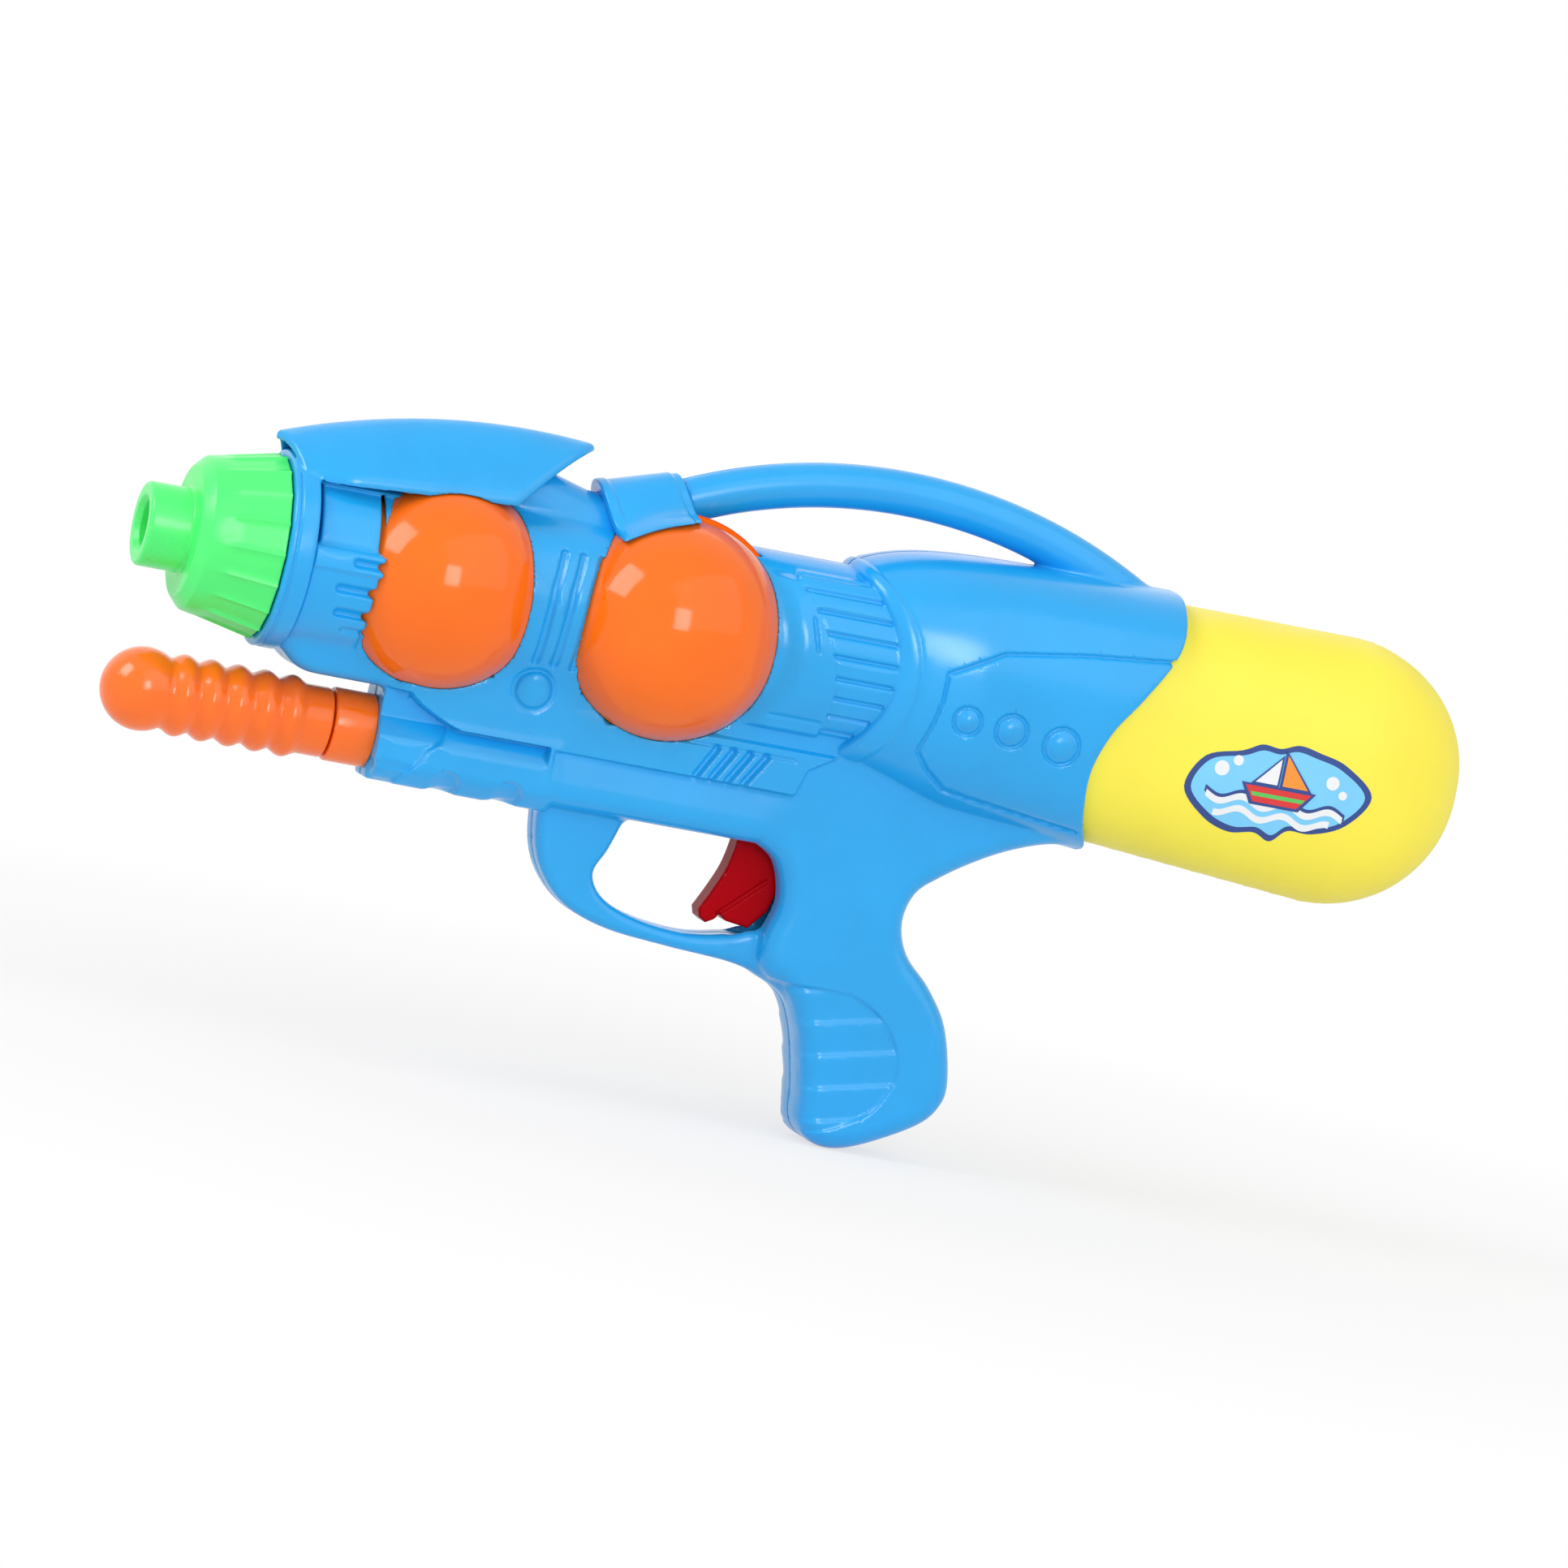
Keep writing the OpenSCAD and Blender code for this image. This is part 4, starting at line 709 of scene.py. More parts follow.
def add_barrel_relief(f):
    # Front sleeve: sunk panel under the fin, rail, and slots that run into the dome
    panel(f, [(37, 4.6), (37, 18.5), (60, 18.5), (60, 4.6)], 1.1, 1.0)
    panel(f, [(39, -1.0), (39, 4.0), (60, 4.0), (60, -1.0)], -0.8, 0.7)
    for z0, x0 in ((1.6, 48.6), (-5.2, 45.6), (-11.2, 46.8), (-15.4, 49.5)):
        groove(f, [(x0 + 1.4, z0), (61, z0)], 1.3 if z0 > -14 else 0.8, 1.4 if z0 > -14 else 0.6)
    # Between the domes
    for x0 in (100.0, 104.8, 109.6):
        groove(f, [(x0 + 1.9, 13), (x0 + 0.4, 4.6), (x0, -5), (x0 + 0.2, -14.2)], 1.15, 1.0)
    boss(f, 102.0, -21.6, 4.6, 2.3, 5.2, 0.3)
    # Plate behind the rear dome
    cut, x, y, z = f.region((150, 184), None, (-24, 24))
    start = np.interp(z, [-17.2, -12.7, -7.9, -2.3, 2.9, 8.2, 13.7, 17],
                      [161, 163.4, 165.6, 166.1, 165.7, 164.2, 162.7, 160.3])
    end = np.interp(z, RIB_Z, RIB_FRONT)
    raised = 1.8 * smooth((x - start + 6.5) / 6.5) * smooth((end + 0.5 - x) / 0.6)
    raised = raised * smooth((z + 20.4) / 0.8) * smooth((18.4 - z) / 1.5)
    f.d[cut] -= (raised * smooth((-y - 3) / 3)).astype(np.float32)
    groove(f, [(166.2, 9), (168.2, 1.5)], 0.6, 0.7)
    groove(f, [(161, -16.4), (174, -16.4)], 0.45, 0.5)
    # Ribbed band
    cut, x, y, z = f.region((160, 192), None, (-27, 27))
    front, back = np.interp(z, RIB_Z, RIB_FRONT), np.interp(z, RIB_Z, RIB_BACK)
    line = (np.degrees(np.arctan2(z, np.maximum(-y, 0.1))) - 2.3) / 12.7
    cuts = smooth(1.4 - np.abs(line - np.round(line)) * 5.2 / 0.6)
    ends = np.maximum(front - x, x - back - 3)
    band = smax(smax(np.hypot(y, z) - 24.4 + 0.85 * cuts, ends, 0.8), np.abs(z) - 19.6, 1.6)
    f.d[cut] = smin(f.d[cut], band, 0.3)


def add_relief(f):
    add_barrel_relief(f)
    add_housing_relief(f)
    add_frame_relief(f)
    # Shroud: panel line and three bumps
    groove(f, [(258, 15.2), (234.9, 12.8), (214.2, 9.6), (201.1, 2.2), (201.1, -4.8), (200.1, -10.8),
               (198.2, -18.2), (201.8, -22.4), (208, -27), (244, -31.2)], 0.6, 0.75)
    boss(f, 208, -8.4, 2.2, 0.9, 3.4, 0.7)
    boss(f, 219.4, -8.8, 2.8, 1.0, 4.0, 0.7)
    boss(f, 232.8, -10.2, 3.2, 1.1, 4.5, 0.7)
    # Grip: a sunk panel with finger ridges
    grip = curve([(172, -84), (179, -82), (193.6, -81.5), (199.8, -82.3), (205, -85), (209, -88.5),
                  (211.8, -93), (213, -97), (212.8, -102), (209, -109), (205, -112.3), (199.8, -115.3), (193.6, -117.4),
                  (186, -118)], 4)
    cut, x, y, z = f.region((168, 216), None, (-122, -78))
    inside = outline_distance(x[:, 0], z[:, 0], grip)
    mask = smooth(0.5 - inside / 0.9)
    saw = ((z[:, 0] - 0.22 * (x[:, 0] - 180) + 83.2) / 8.4) % 1.0
    wave = np.minimum(saw / 0.82, (1 - saw) / 0.18)
    sunk = mask * (0.95 - 0.5 * smooth(wave))
    f.d[cut] += (sunk[:, None, :] * smooth((-y - 4.5) / 8)).astype(np.float32)


def hollow_of():
    """The space inside the halves, with the screw posts left standing."""
    h = Field(*HALF_BOX, STEP)
    h.add(tube(BARREL_R - WALL, 124.5, 81.5), (38, 212), None, (-24, 24))
    h.add(tube(19.8, 34.6, 2.6), (33, 42), None, (-24, 24))
    cut, x, y, z = h.region((62, 248), None, (-122.5, -2))
    flat = outline_distance(x[:, 0], z[:, 0], FRAME_LINE)
    h.d[cut] = np.minimum(h.d[cut], np.maximum(flat[:, None, :] + 3.6, np.abs(y) - 11.0))
    h.cut(lambda x, y, z: np.maximum(x - 114, z + 24) + 0 * y, (62, 118), None, (-56, -20))
    for x0, z0 in SCREWS:
        h.cut(cross_bar(x0, z0, 3.9), (x0 - 6, x0 + 6), None, (z0 - 6, z0 + 6))
    h.cut(cross_bar(*PIVOT, 4.1), (160, 177), None, (-53, -36))
    return h.d


def open_inside(f, hollow):
    f.d = np.maximum(f.d, -hollow)
    f.cut(lambda x, y, z: tank_shape(x, y, z, 0.4), (198, 268.5), None, (-46, 36))
    f.cut(tube(10.4, 200, 8, NECK_Z), (188, 212), None, (-20, 12))
    for x0, y0, r in (FRONT_DOME, REAR_DOME):
        box = (x0 - r - 3, x0 + r + 3), None, (-31, 29)
        f.cut(lambda x, y, z: np.maximum(np.hypot(x - x0, z - DOME_Z) - (r + 1.3),
                                         np.maximum(-y - y0 - 0.3, y + y0 - 1.6)), *box)
        f.cut(lambda x, y, z: np.maximum(
            np.sqrt((x - x0) ** 2 + (y + y0) ** 2 + (z - DOME_Z) ** 2) - (r - 0.03), y + y0), *box)
    f.cut(tube(PUMP_BORE_R, 96.5, 32.5, PUMP_Z), (62, 132), None, (-52, -28))
    f.cut(tube(VALVE_BORE_R, 194.25, 10.75, VALVE_Z), (180, 208), None, (-68, -45))
    f.cut(tube(4.4, 184, 4, VALVE_Z), (178, 190), None, (-64, -49))
    f.cut(lambda x, y, z: np.hypot(y, z) - 4.4 + 0 * x, (36, 44), None, (-8, 8))
    cut, x, y, z = f.region((157, 190), None, (-78, -38))
    slot = outline_distance(x[:, 0], z[:, 0], SLOT_LINE)[:, None, :]
    slot = np.minimum(slot, np.hypot(x - PIVOT[0], z - PIVOT[1]) - 5.3)
    f.d[cut] = smax(f.d[cut], -np.maximum(slot, np.abs(y) - 4.6), 0.5)
    cut, x, y, z = f.region(None, (-4, 0.9), None)
    f.d[cut] = smax(f.d[cut], y + 0.04, 0.7)


add_outside(half)
add_upper(half)
inner = hollow_of()
add_relief(half)
open_inside(half, inner)
left = half.d.copy()
for x0, z0 in SCREWS:
    half.cut(cross_bar(x0, z0, 1.55), (x0 - 4, x0 + 4), (-9.4, 0.9), (z0 - 4, z0 + 4))
field_piece("left_half", half, "body", "left_shell", blue)
half.d = left
for x0, z0 in SCREWS:
    half.cut(lambda x, y, z: np.maximum(np.hypot(x - x0, z - z0) - 3.2, y + 6.5),
             (x0 - 6, x0 + 6), None, (z0 - 6, z0 + 6), 0.4)
    half.cut(cross_bar(x0, z0, 1.7), (x0 - 4, x0 + 4), (-8, 0.9), (z0 - 4, z0 + 4))
field_piece("right_half", half, "body", "right_shell", blue, flip_y=True)
del half, left, inner


# Muzzle hood: ring and fin

def ridge_z(x):
    return 40.4 - 12 * ((x - 93) / 64) ** 2


def fin_shape(x, y, z):
    t = np.abs(y) / 17
    for _ in range(3):
        front, back = 29 + 6 * t, 108.4 - 20 * t ** 1.35
        s = (x - front) / (back - front)
        t = np.minimum(np.abs(y) / (17 * mix(0.82, 1, smooth(4 * s))), 1.4)
    front, back = 29 + 6 * t, 108.4 - 20 * t ** 1.35
    s = (x - front) / (back - front)
    edge = 20.5 + 0.065 * (x - 35)
    ridge = ridge_z(x)
    top = ridge - (ridge - edge) * t ** 1.6
    lean = 1.6 * (ridge - edge) * t ** 0.6 / 17
    body = (np.abs(z - top + 1.15) - 1.15 * np.sqrt(1 + 0.25 * lean ** 2)) / np.sqrt(1 + lean ** 2)
    body = smax(body, (t - 1) * 16, 0.9)
    body = smax(body, -s * 70, 0.9)
    return smax(body, (s - 1) * 60, 1.6)


hood = Field((27.5, -25.6, -25.6), (111, 25.6, 42.5), 0.4)
hood.add(fin_shape, ys=(-19.5, 19.5), zs=(14, 42.5))
hood.cut(lambda x, y, z: np.maximum(np.hypot(y, z) - 24.15, 38.9 - x))
for side in (-1, 1):
    hood.cut(lambda x, y, z: np.sqrt(
        (x - FRONT_DOME[0]) ** 2 + (y - side * FRONT_DOME[1]) ** 2 + (z - DOME_Z) ** 2) - 26.55)
hood.add(lambda x, y, z: np.maximum(
    np.maximum(np.abs(y) - 1.2, np.abs(x - 61) - 23), np.maximum(24.4 - z, z - ridge_z(x) + 1)))
hood.add(lambda x, y, z: np.maximum(
    smax(np.hypot(y, z) - 24.5, np.abs(x - 35.6) - 3.3, 1.1),
    np.maximum(8.3 - np.hypot(y, z), np.minimum(22.1 - np.hypot(y, z), x - 34.3))), k=0.6)
hood.sink(lambda x, y, z: 0.45 * smooth(1.2 - np.abs(x - 34.0) / 0.5) * smooth((np.hypot(y, z) - 23.2) / 0.5)
          * smooth((25.5 - np.hypot(y, z)) / 0.6), (32, 36), None, (-26, 20))
field_piece("muzzle_hood_skin", hood, "body", "muzzle_hood", blue)
del hood


# Handle collar

collar = Field((106, -21, 12), (139, 21, 42), 0.3)


def collar_shape(x, y, z):
    along = (x - HANDLE_FRONT[0]) * HANDLE_WAY[0] + (z - HANDLE_FRONT[1]) * HANDLE_WAY[1]
    over = (x - HANDLE_FRONT[0]) * HANDLE_WAY[1] - (z - HANDLE_FRONT[1]) * HANDLE_WAY[0]
    away = np.hypot(over, y)
    lip = 0.45 * (1 - smooth((along - 2.4) / 0.6)) - 0.5 * smooth((along - 18.6) / 0.6)
    ends = np.abs(along - 11.0) - 10.7
    outer = smax(away - 7.7 - 0.13 * along + lip, ends, 0.9)
    skirt = np.sqrt((x - REAR_DOME[0]) ** 2 + (np.abs(y) - REAR_DOME[1]) ** 2 + (z - DOME_Z) ** 2)
    lap = np.maximum(smin(skirt - 29.3, np.hypot(y, z) - 23.6, 1.5) + 0.6 * lip, ends)
    edge = 15.8 + 0.78 * (x - 112) - 0.0135 * (x - 112) ** 2
    lap = smax(np.maximum(lap, np.abs(y) - 19.5), edge - z, 0.6)
    return np.maximum(smax(smin(outer, lap, 6.0), ends, 0.7), 5.4 - away)


collar.add(collar_shape)
collar.cut(lambda x, y, z: np.hypot(y, z) - 22.55 + 0 * x)
dome_x, dome_y, _ = REAR_DOME
collar.cut(lambda x, y, z: np.maximum(np.hypot(x - dome_x, z - DOME_Z) - 26.65, np.abs(y) - 6.5))
for side in (-1, 1):
    collar.cut(lambda x, y, z: np.maximum(
        np.hypot(x - dome_x, z - DOME_Z) - 29.2, np.abs(side * y - 7.2) - 0.95))
    collar.cut(lambda x, y, z: np.sqrt(
        (x - dome_x) ** 2 + (y - dome_y * side) ** 2 + (z - DOME_Z) ** 2) - 27.95)
field_piece("handle_collar_skin", collar, "body", "handle_collar", blue)
del collar


# Nozzle cap

def flute(x, r, a):
    """Hollow flutes that start behind the shoulder and leave narrow ridges between them."""
    if r < 17 or x < 14:
        return r
    into = min(1.0, max(0.0, (x - 15.2) / 6))
    ease = into * into * (3 - 2 * into)
    wave = 1 - (1 - abs(math.sin(a * 9))) ** 2.4
    return r - 0.7 * ease * wave


cone_side = [(x, 19.2 + (x - 13.6) * 4.0 / 18.4) for x in np.linspace(16.0, 31.2, 14)]
cap = rounded(
    [(1.4, 6.0), (0.0, 7.2), (0.0, 10.5), (11.0, 10.5), (11.0, 16.4), (13.6, 19.2)] + cone_side
    + [(32.0, 23.2), (32.0, 20.8), (13.4, 16.3), (13.4, 10.3), (28.0, 10.3), (28.0, 8.08), (13.4, 8.08),
       (13.4, 1.2), (11.0, 1.2), (11.0, 6.0)],
    [0.6, 0.6, 1.1, 0.9, 1.5, 1.8] + [0] * 14 + [0.4, 0.3, 0.5, 0.4, 0.3, 0.2, 0, 0, 0, 0.3]
)
lathe("nozzle_cap_skin", cap, 0, 288, "nozzle_cap", "nozzle_cap", green, flute, sharp=40)


# Domes

def dome(name, x0, y0, r, side, node):
    """A hollow half ball with a flat rim, its pole pointing out along y."""
    arc = [(y0 + r * math.sin(t), r * math.cos(t)) for t in np.linspace(math.radians(2.0), math.pi / 2, 40)]
    back = [(y0 + (r - 1.8) * math.sin(t), (r - 1.8) * math.cos(t)) for t in np.linspace(math.pi / 2, 0, 24)]
    rim = rounded([(y0 - 1.6, r + 1.0), (y0, r + 1.0), arc[0]], [0.4, 0.5, 0])
    profile = rim + arc[1:] + back + [(y0 - 1.6, r - 1.8)]
    lathe(name, profile, 0, 144, "body", node, orange, sharp=50,
          place=lambda p: (x0 + p[1], side * p[0], DOME_Z + p[2]))


for side, word in ((-1, "left"), (1, "right")):
    dome("front_dome_cap_" + word, *FRONT_DOME, side, "front_dome_" + word)
    dome("rear_dome_cap_" + word, *REAR_DOME, side, "rear_dome_" + word)


# Pump handle and collar

ball = [(8.6 - 10.4 * math.cos(t), 10.4 * math.sin(t)) for t in np.linspace(0, math.radians(122), 34)]
ribs = []
for k in range(1, 5 * 14):
    t = k / 14
    bulge = (0.5 - 0.5 * math.cos(2 * math.pi * t)) ** 0.7
    ribs.append((14.7 + 6.85 * t, mix(8.8, 10.2, bulge)))
tail = rounded([(49.2, 8.7), (55.6, 8.7), (55.6, 3.22), (42.6, 3.22)], [0, 0.9, 0.2, 0])
lathe("pump_handle_skin", ball + ribs + tail + [(42.6, 0.0)], PUMP_Z, 128, "pump", "pump_handle",
      orange_pump, sharp=45)
ring = rounded(
    [(56.0, 3.28), (56.0, 9.2), (66.5, 9.2), (66.5, 7.7), (58.4, 7.7), (58.4, 3.28)],
    [0.2, 0.7, 0.3, 0.2, 0.2, 0.2])
lathe("pump_collar_skin", ring, PUMP_Z, 112, "body", "pump_collar", orange_pump)


# Trigger

trigger = Field((155.5, -4.9, -73), (178, 4.9, -38), 0.22)
_, x, y, z = trigger.region(None, None, None)
flat = outline_distance(x[:, 0], z[:, 0], TRIGGER_LINE)
blade = plate(flat, y, 4.2, 0.9)
blade = smin(blade, smax(np.hypot(x - PIVOT[0], z - PIVOT[1]) - 5.0, np.abs(y) - 4.2, 0.5), 0.6)
trigger.d[:] = np.maximum(blade, 1.58 - np.hypot(x - PIVOT[0], z - PIVOT[1]))
mark = line_distance(x[:, 0], z[:, 0], [(172.8, -58.6), (162.2, -68.5)])
trigger.d += 0.6 * smooth(1.3 - mark / 0.65)[:, None, :] * smooth((np.abs(y) - 2.5) / 0.8)
field_piece("trigger_skin", trigger, "trigger", "trigger", red)
del trigger


# Tank with its filling hole, and the plug

tank = Field((196.5, -28.2, -40.6), (345, 29.4, 29.2), 0.6)
tank.add(tank_shape)
tank.add(tube(9.5, 204, 6, NECK_Z), (196, 214), (-14, 14), (-18, 10))
tank.sink(lambda x, y, z: -0.25 * smooth(1.3 - np.abs(y) / 0.5) * smooth((338 - x) / 20) + 0 * z,
          None, (-2, 2), None)
tank.cut(lambda x, y, z: tank_shape(x, y, z, -TANK_WALL), (206, 345), None, None)
tank.add(lambda x, y, z: smax(np.hypot(x - FILLER[0], z - FILLER[1]) - 9.0, np.abs(y - 24.2) - 4.0, 0.8),
         (276, 304), (16, 29.4), (-12, 16), 0.8)
tank.cut(cross_bar(*FILLER, 6.5), (280, 300), (10, 29.4), (-8, 12))
tank.cut(lambda x, y, z: np.hypot(y, z - NECK_Z) - 7.0 + 0 * x, (196, 216), (-9, 9), (-13, 5))
field_piece("tank_skin", tank, "body", "tank", yellow, adapt=0.01)
del tank

plug = rounded(
    [(20.2, 6.42), (24.2, 6.42), (24.2, 5.52), (25.6, 5.52), (25.6, 6.42), (28.2, 6.42), (28.2, 9.0),
     (30.8, 9.0), (30.8, 0.0), (27.2, 0.0), (27.2, 4.02), (20.2, 4.02)],
    [0.4, 0.1, 0, 0, 0.1, 0.2, 0.3, 1.0, 0, 0, 0.3, 0.3])


def knurl(x, r, a):
    return r - 0.35 * (0.5 - 0.5 * math.cos(24 * a)) if r > 8.6 and 28.4 < x < 30.4 else r


lathe("filler_plug_skin", plug, 0, 144, "filler_plug", "filler_plug", blue, knurl, sharp=40,
      place=lambda p: (FILLER[0] + p[1], p[0], FILLER[1] + p[2]))


# Valve spring: a coil of wire between its node's ends; in the toy the stem presses it shorter

def coil_spring(name, node, coils, r, wire_r):
    """A wire coil between its node's ends."""
    low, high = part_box(node)
    reach = high[0] - low[0]
    axis_z = (low[2] + high[2]) / 2
    per_turn, sides = 28, 10
    steps = coils * per_turn
    rise = (reach - 2 * wire_r) / steps
    bm = bmesh.new()
    rings = []
    for i in range(steps + 1):
        a = 2 * math.pi * i / per_turn
        out = Vector((0, math.cos(a), math.sin(a)))
        way = Vector((rise * per_turn / (2 * math.pi), -r * math.sin(a), r * math.cos(a))).normalized()
        middle = Vector((low[0] + wire_r + rise * i, 0, axis_z)) + out * r
        over = way.cross(out)
        turns = (2 * math.pi * j / sides for j in range(sides))
        rings.append([bm.verts.new(middle + wire_r * (out * math.cos(b) + over * math.sin(b))) for b in turns])
    for one, two in zip(rings, rings[1:]):
        for j in range(sides):
            k = (j + 1) % sides
            bm.faces.new((one[j], one[k], two[k], two[j]))
    bm.faces.new(rings[0])
    bm.faces.new(rings[-1])
    piece = bmesh_piece(name, bm, "body", node, steel, sharp=50)
    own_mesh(piece)


coil_spring("valve_spring_wire", "valve_spring", 4, 3.2 * MM, 0.35 * MM)


# Sticker on the tank's left side: a generic sailing boat in thin layers

def tank_side(x, z):
    low = float(tank_low(x))
    mid = (TANK_TOP - low) / 2
    b = abs(z - mid) / ((TANK_TOP + low) / 2)
    return -TANK_HALF_W * (1 - b ** SQUARENESS) ** (1 / SQUARENESS)


def decal(name, outline, level, material):
    """A thin patch of the given outline that follows the tank's side."""
    bm = bmesh.new()
    flat = [Vector((p[0], p[1], 0)) for p in outline]
    verts = [bm.verts.new(v) for v in flat]
    for tri in tessellate_polygon([flat]):
        bm.faces.new([verts[i] for i in tri])
    for _ in range(6):
        long = [e for e in bm.edges if e.calc_length() > 2.4]
        if not long:
            break
        bmesh.ops.subdivide_edges(bm, edges=long, cuts=1)
        bmesh.ops.triangulate(bm, faces=[f for f in bm.faces if len(f.verts) > 3])
    bmesh.ops.beautify_fill(bm, faces=bm.faces, edges=bm.edges)
    top = bmesh.ops.extrude_face_region(bm, geom=list(bm.faces))
    raised = {v for v in top["geom"] if isinstance(v, bmesh.types.BMVert)}
    for v in bm.verts:
        x, z = v.co.x, v.co.y
        lift = 0.06 + 0.05 * level if v in raised else -0.05
        v.co = world((x, tank_side(x, z) - lift, z))
    return bmesh_piece(name, bm, "body", None, material)


def blob(x0, z0, spokes, tilt):
    """A closed smooth outline from radii at even angles."""
    n = len(spokes)
    ring = [(x0 + r * math.cos(2 * math.pi * k / n + tilt), z0 + r * math.sin(2 * math.pi * k / n + tilt))
            for k, r in enumerate(spokes)]
    line = curve(ring[-1:] + ring + ring[:2], 6)
    return line[6:-7]


def circle(x0, z0, r, n=36):
    angles = (2 * math.pi * k / n for k in range(n))
    return [(x0 + r * math.cos(a), z0 + r * math.sin(a)) for a in angles]


def ink(name, color, swirl):
    return plastic(name, color, wear=0.0, swirl=swirl)


navy = ink("print_navy", NAVY, 0.06)
sky = ink("print_sky", SKY, 0.06)
print_white = ink("print_white", (0.86, 0.88, 0.9), 0.02)
print_red = ink("print_red", (0.72, 0.03, 0.03), 0.05)
print_orange = ink("print_orange", (0.95, 0.3, 0.03), 0.05)
print_green = ink("print_green", (0.10, 0.55, 0.10), 0.05)
STICKER = (290.5, -11.5)


def at(points):
    return [(STICKER[0] + x, STICKER[1] + z) for x, z in points]


def sticker():
    spokes = [24.5, 19, 14.5, 12.8, 10.8, 12.6, 14, 21, 24, 19.5, 15.5, 11.6, 12.8, 10.6, 14.5, 20]
    cloud = blob(0, 0, spokes, 0.12)
    decal("sticker_edge", at(cloud), 0, navy)
    decal("sticker_sky", at([(x * 0.93, z * 0.87) for x, z in cloud]), 1, sky)
    waves = (-2.0, 18.5, navy), (-2.9, 18.0, print_white), (-6.0, 15.0, print_white)
    for k, (dz, reach, color) in enumerate(waves):
        upper = [(x, dz + 1.0 * math.sin(x * 0.55)) for x in np.linspace(-reach, reach, 44)]
        lower = [(x, z - 1.7) for x, z in reversed(upper)]
        decal("sticker_wave_%d" % (k + 1), at(upper + lower), 2 + k, color)
    hull = [(-8.5, 0.6), (8.8, 0.6), (5.6, -3.4), (-5.8, -3.4)]
    decal("sticker_hull_edge", at([(x * 1.13, z * 1.3 + 0.3) for x, z in hull]), 5, navy)
    decal("sticker_hull", at(hull), 6, print_red)
    for name, shape, color in (
        ("sail", [(0.9, 9.4), (7.6, 1.6), (0.9, 1.6)], print_orange),
        ("jib", [(-0.5, 8.2), (-0.5, 1.6), (-6.2, 1.6)], print_white),
    ):
        x0, z0 = (sum(p[i] for p in shape) / 3 for i in (0, 1))
        wide = [(x0 + (x - x0) * 1.28, z0 + (z - z0) * 1.24) for x, z in shape]
        decal("sticker_%s_edge" % name, at(wide), 5, navy)
        decal("sticker_" + name, at(shape), 6, color)
    for k, (dx, dz, r) in enumerate(((-15.4, 3.4, 1.9), (-11.6, 6.0, 1.3), (13.6, 4.6, 1.7), (16.8, 2.0, 1.1))):
        decal("sticker_bubble_%d" % (k + 1), at(circle(dx, dz, r)), 3, print_white)
    stripe = [(-6.9, -0.9), (7.4, -0.9), (6.7, -1.9), (-6.3, -1.9)]
    decal("sticker_stripe", at(stripe), 7, print_green)


sticker()


# Floor, light and camera

def sees_white(tree):
    """1 for the rays that see the white background: the camera's, reflected and refracted ones."""
    path = tree.nodes.new("ShaderNodeLightPath")
    value = path.outputs["Is Camera Ray"]
    for name in ("Is Glossy Ray", "Is Transmission Ray"):
        either = tree.nodes.new("ShaderNodeMath")
        either.operation = "MAXIMUM"
        tree.links.new(value, either.inputs[0])
        tree.links.new(path.outputs[name], either.inputs[1])
        value = either.outputs[0]
    return value


def stage():
    bm = bmesh.new()
    for x, y in ((-6, -6), (6, -6), (6, 6), (-6, 6)):
        bm.verts.new((x, y, -0.0002))
    bm.verts.ensure_lookup_table()
    bm.faces.new(bm.verts)
    mesh = bpy.data.meshes.new("floor")
    bm.to_mesh(mesh)
    bm.free()
    floor = bpy.data.objects.new("floor", mesh)
    bpy.context.scene.collection.objects.link(floor)
    material, tree, shader = material_base("floor")
    shader.inputs["Base Color"].default_value = (0.85, 0.85, 0.85, 1)
    shader.inputs["Roughness"].default_value = 0.9
    shader.inputs["Specular IOR Level"].default_value = 0.0
    glow = tree.nodes.new("ShaderNodeEmission")
    glow.inputs["Color"].default_value = (1, 1, 1, 1)
    glow.inputs["Strength"].default_value = 1.0
    away = tree.nodes.new("ShaderNodeVectorMath")
    away.operation = "LENGTH"
    tree.links.new(tree.nodes.new("ShaderNodeTexCoord").outputs["Object"], away.inputs[0])
    half_way = tree.nodes.new("ShaderNodeMath")
    half_way.operation = "MULTIPLY"
    tree.links.new(sees_white(tree), half_way.inputs[0])
    tree.links.new(remap(tree, away.outputs["Value"], 0.7, 1.0, 0.12, 0.42), half_way.inputs[1])
    join = tree.nodes.new("ShaderNodeMixShader")
    tree.links.new(half_way.outputs[0], join.inputs[0])
    tree.links.new(shader.outputs[0], join.inputs[1])
    tree.links.new(glow.outputs[0], join.inputs[2])
    tree.links.new(join.outputs[0], tree.nodes["Material Output"].inputs["Surface"])
    mesh.materials.append(material)


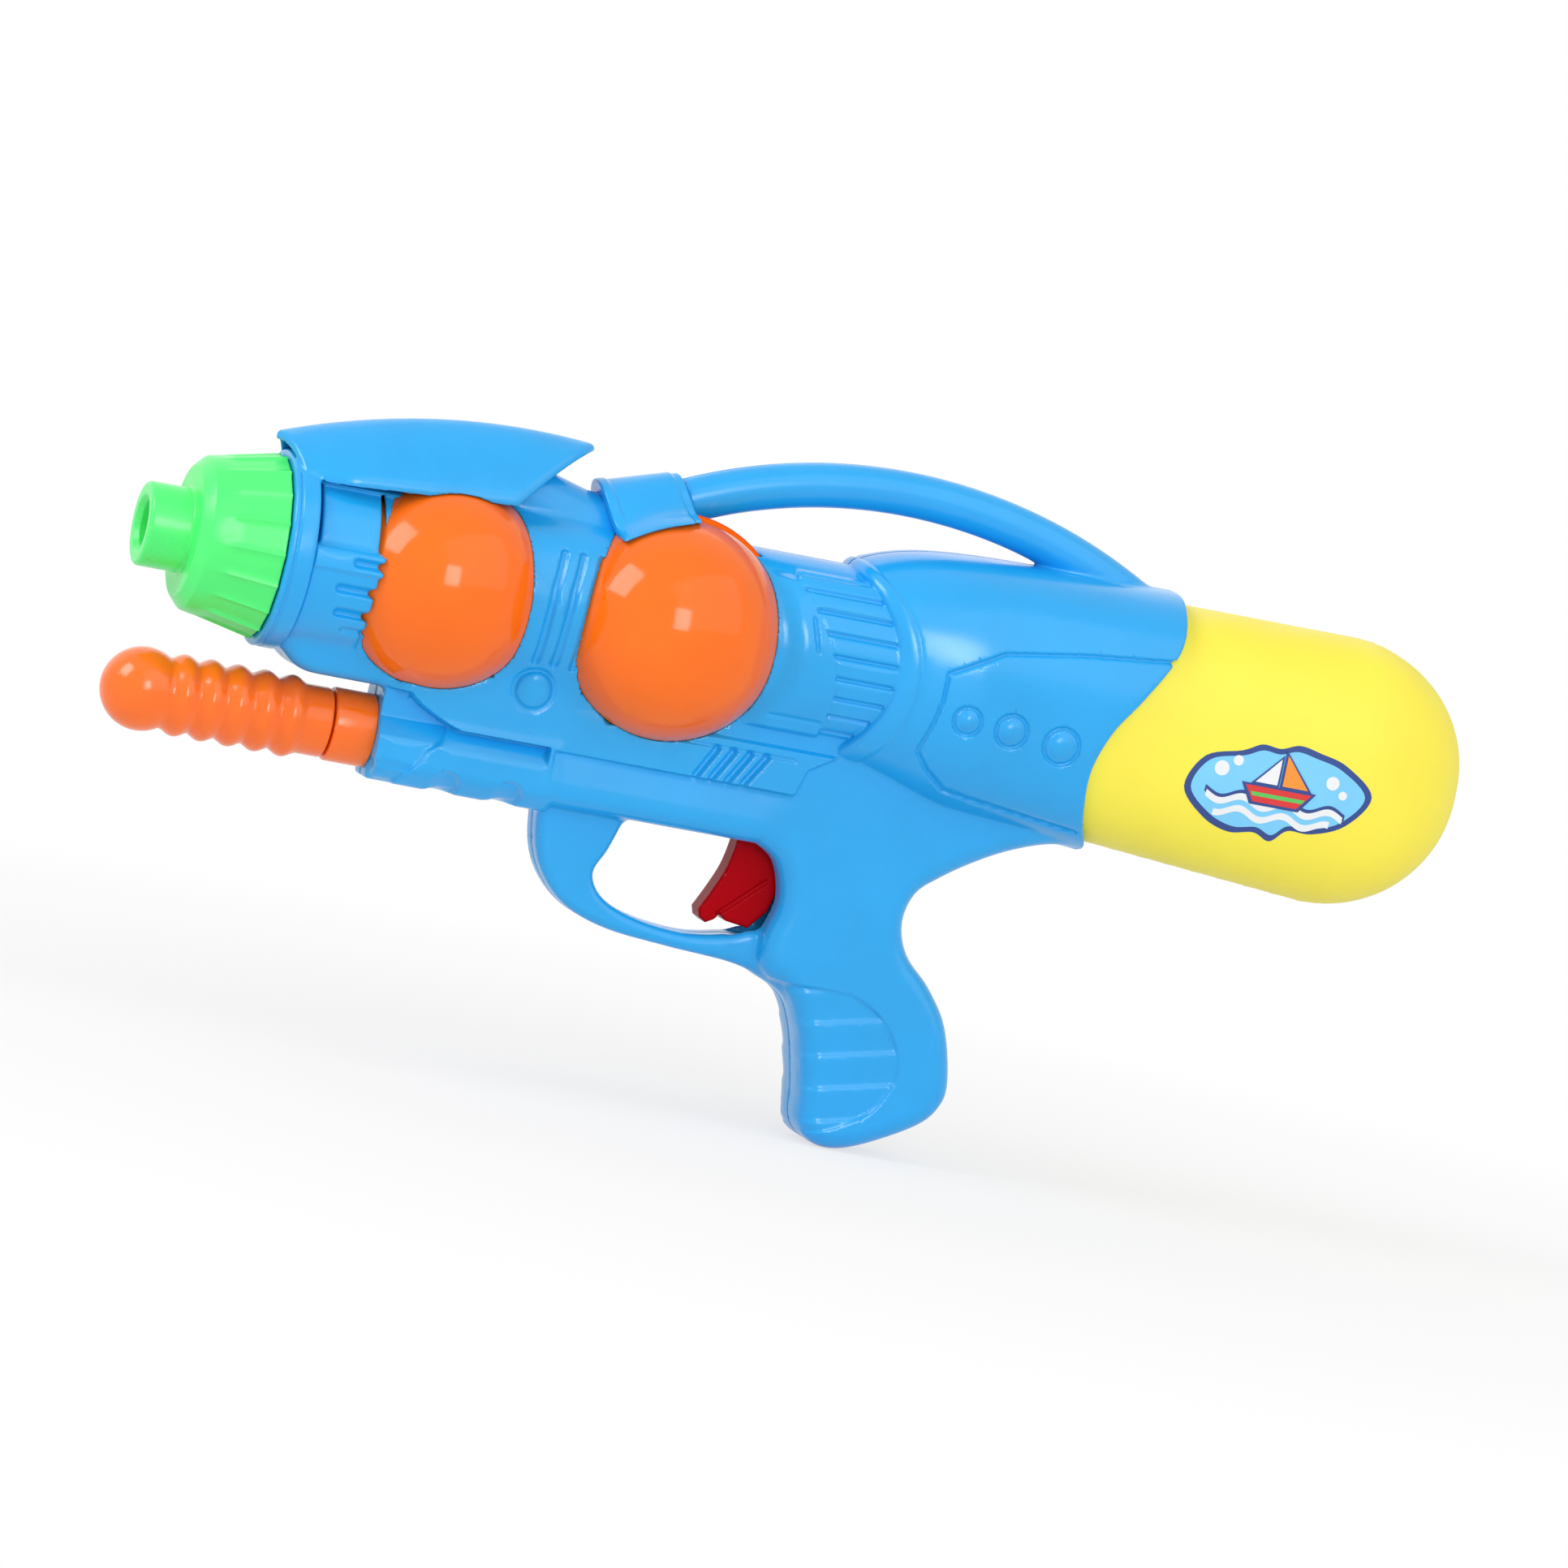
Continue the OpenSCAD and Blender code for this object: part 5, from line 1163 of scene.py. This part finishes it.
def sky_light(strength):
    scene_world = bpy.data.worlds.new("studio")
    scene_world.use_nodes = True
    tree = scene_world.node_tree
    tree.nodes.clear()
    seen = tree.nodes.new("ShaderNodeBackground")
    seen.inputs["Color"].default_value = (1, 1, 1, 1)
    seen.inputs["Strength"].default_value = 1.0
    fill = tree.nodes.new("ShaderNodeBackground")
    fill.inputs["Color"].default_value = (1, 1, 1, 1)
    fill.inputs["Strength"].default_value = strength
    join = tree.nodes.new("ShaderNodeMixShader")
    tree.links.new(sees_white(tree), join.inputs[0])
    tree.links.new(fill.outputs[0], join.inputs[1])
    tree.links.new(seen.outputs[0], join.inputs[2])
    out = tree.nodes.new("ShaderNodeOutputWorld")
    tree.links.new(join.outputs[0], out.inputs["Surface"])
    bpy.context.scene.world = scene_world


def lamp(name, azimuth, elevation, distance, size, energy):
    """A softbox that looks at the middle of the toy."""
    data = bpy.data.lights.new(name, "AREA")
    data.shape = "RECTANGLE"
    data.size, data.size_y = size
    data.energy = energy
    obj = bpy.data.objects.new(name, data)
    bpy.context.scene.collection.objects.link(obj)
    obj.matrix_world = looking(Vector((0, 0, 0.08)), azimuth, elevation, distance)


def looking(target, azimuth, elevation, distance, roll=0.0):
    az, el = math.radians(azimuth), math.radians(elevation)
    back = Vector((math.sin(az) * math.cos(el), -math.cos(az) * math.cos(el), math.sin(el)))
    right = Vector((math.cos(az), math.sin(az), 0))
    up = back.cross(right)
    c, s = math.cos(math.radians(roll)), math.sin(math.radians(roll))
    right, up = right * c + up * s, up * c - right * s
    turn = Matrix((right, up, back)).transposed().to_4x4()
    return Matrix.Translation(target + back * distance) @ turn


stage()
sky_light(0.45)
lamp("side_softbox", -82, 36, 1.5, (0.62, 0.70), 9.0)
lamp("front_softbox", -4, 17, 1.7, (0.46, 0.62), 7)
lamp("key_softbox", 30, 36, 3.0, (4.0, 3.0), 30)
lamp("back_softbox", 190, 30, 3.0, (4.0, 3.0), 12)

camera = bpy.data.cameras.new("camera")
view = bpy.data.objects.new("camera", camera)
bpy.context.scene.collection.objects.link(view)
DISTANCE = 3.4
WIDTH = 0.3885
camera.sensor_width = 36.0
camera.lens = 36.0 * DISTANCE / WIDTH
camera.clip_start = 0.05
camera.clip_end = 50
view.matrix_world = looking(Vector((0.0021, 0, 0.0864)), -15.6, 4.5, DISTANCE, 11.8)
bpy.context.scene.camera = view
bpy.context.scene.view_settings.view_transform = "Standard"
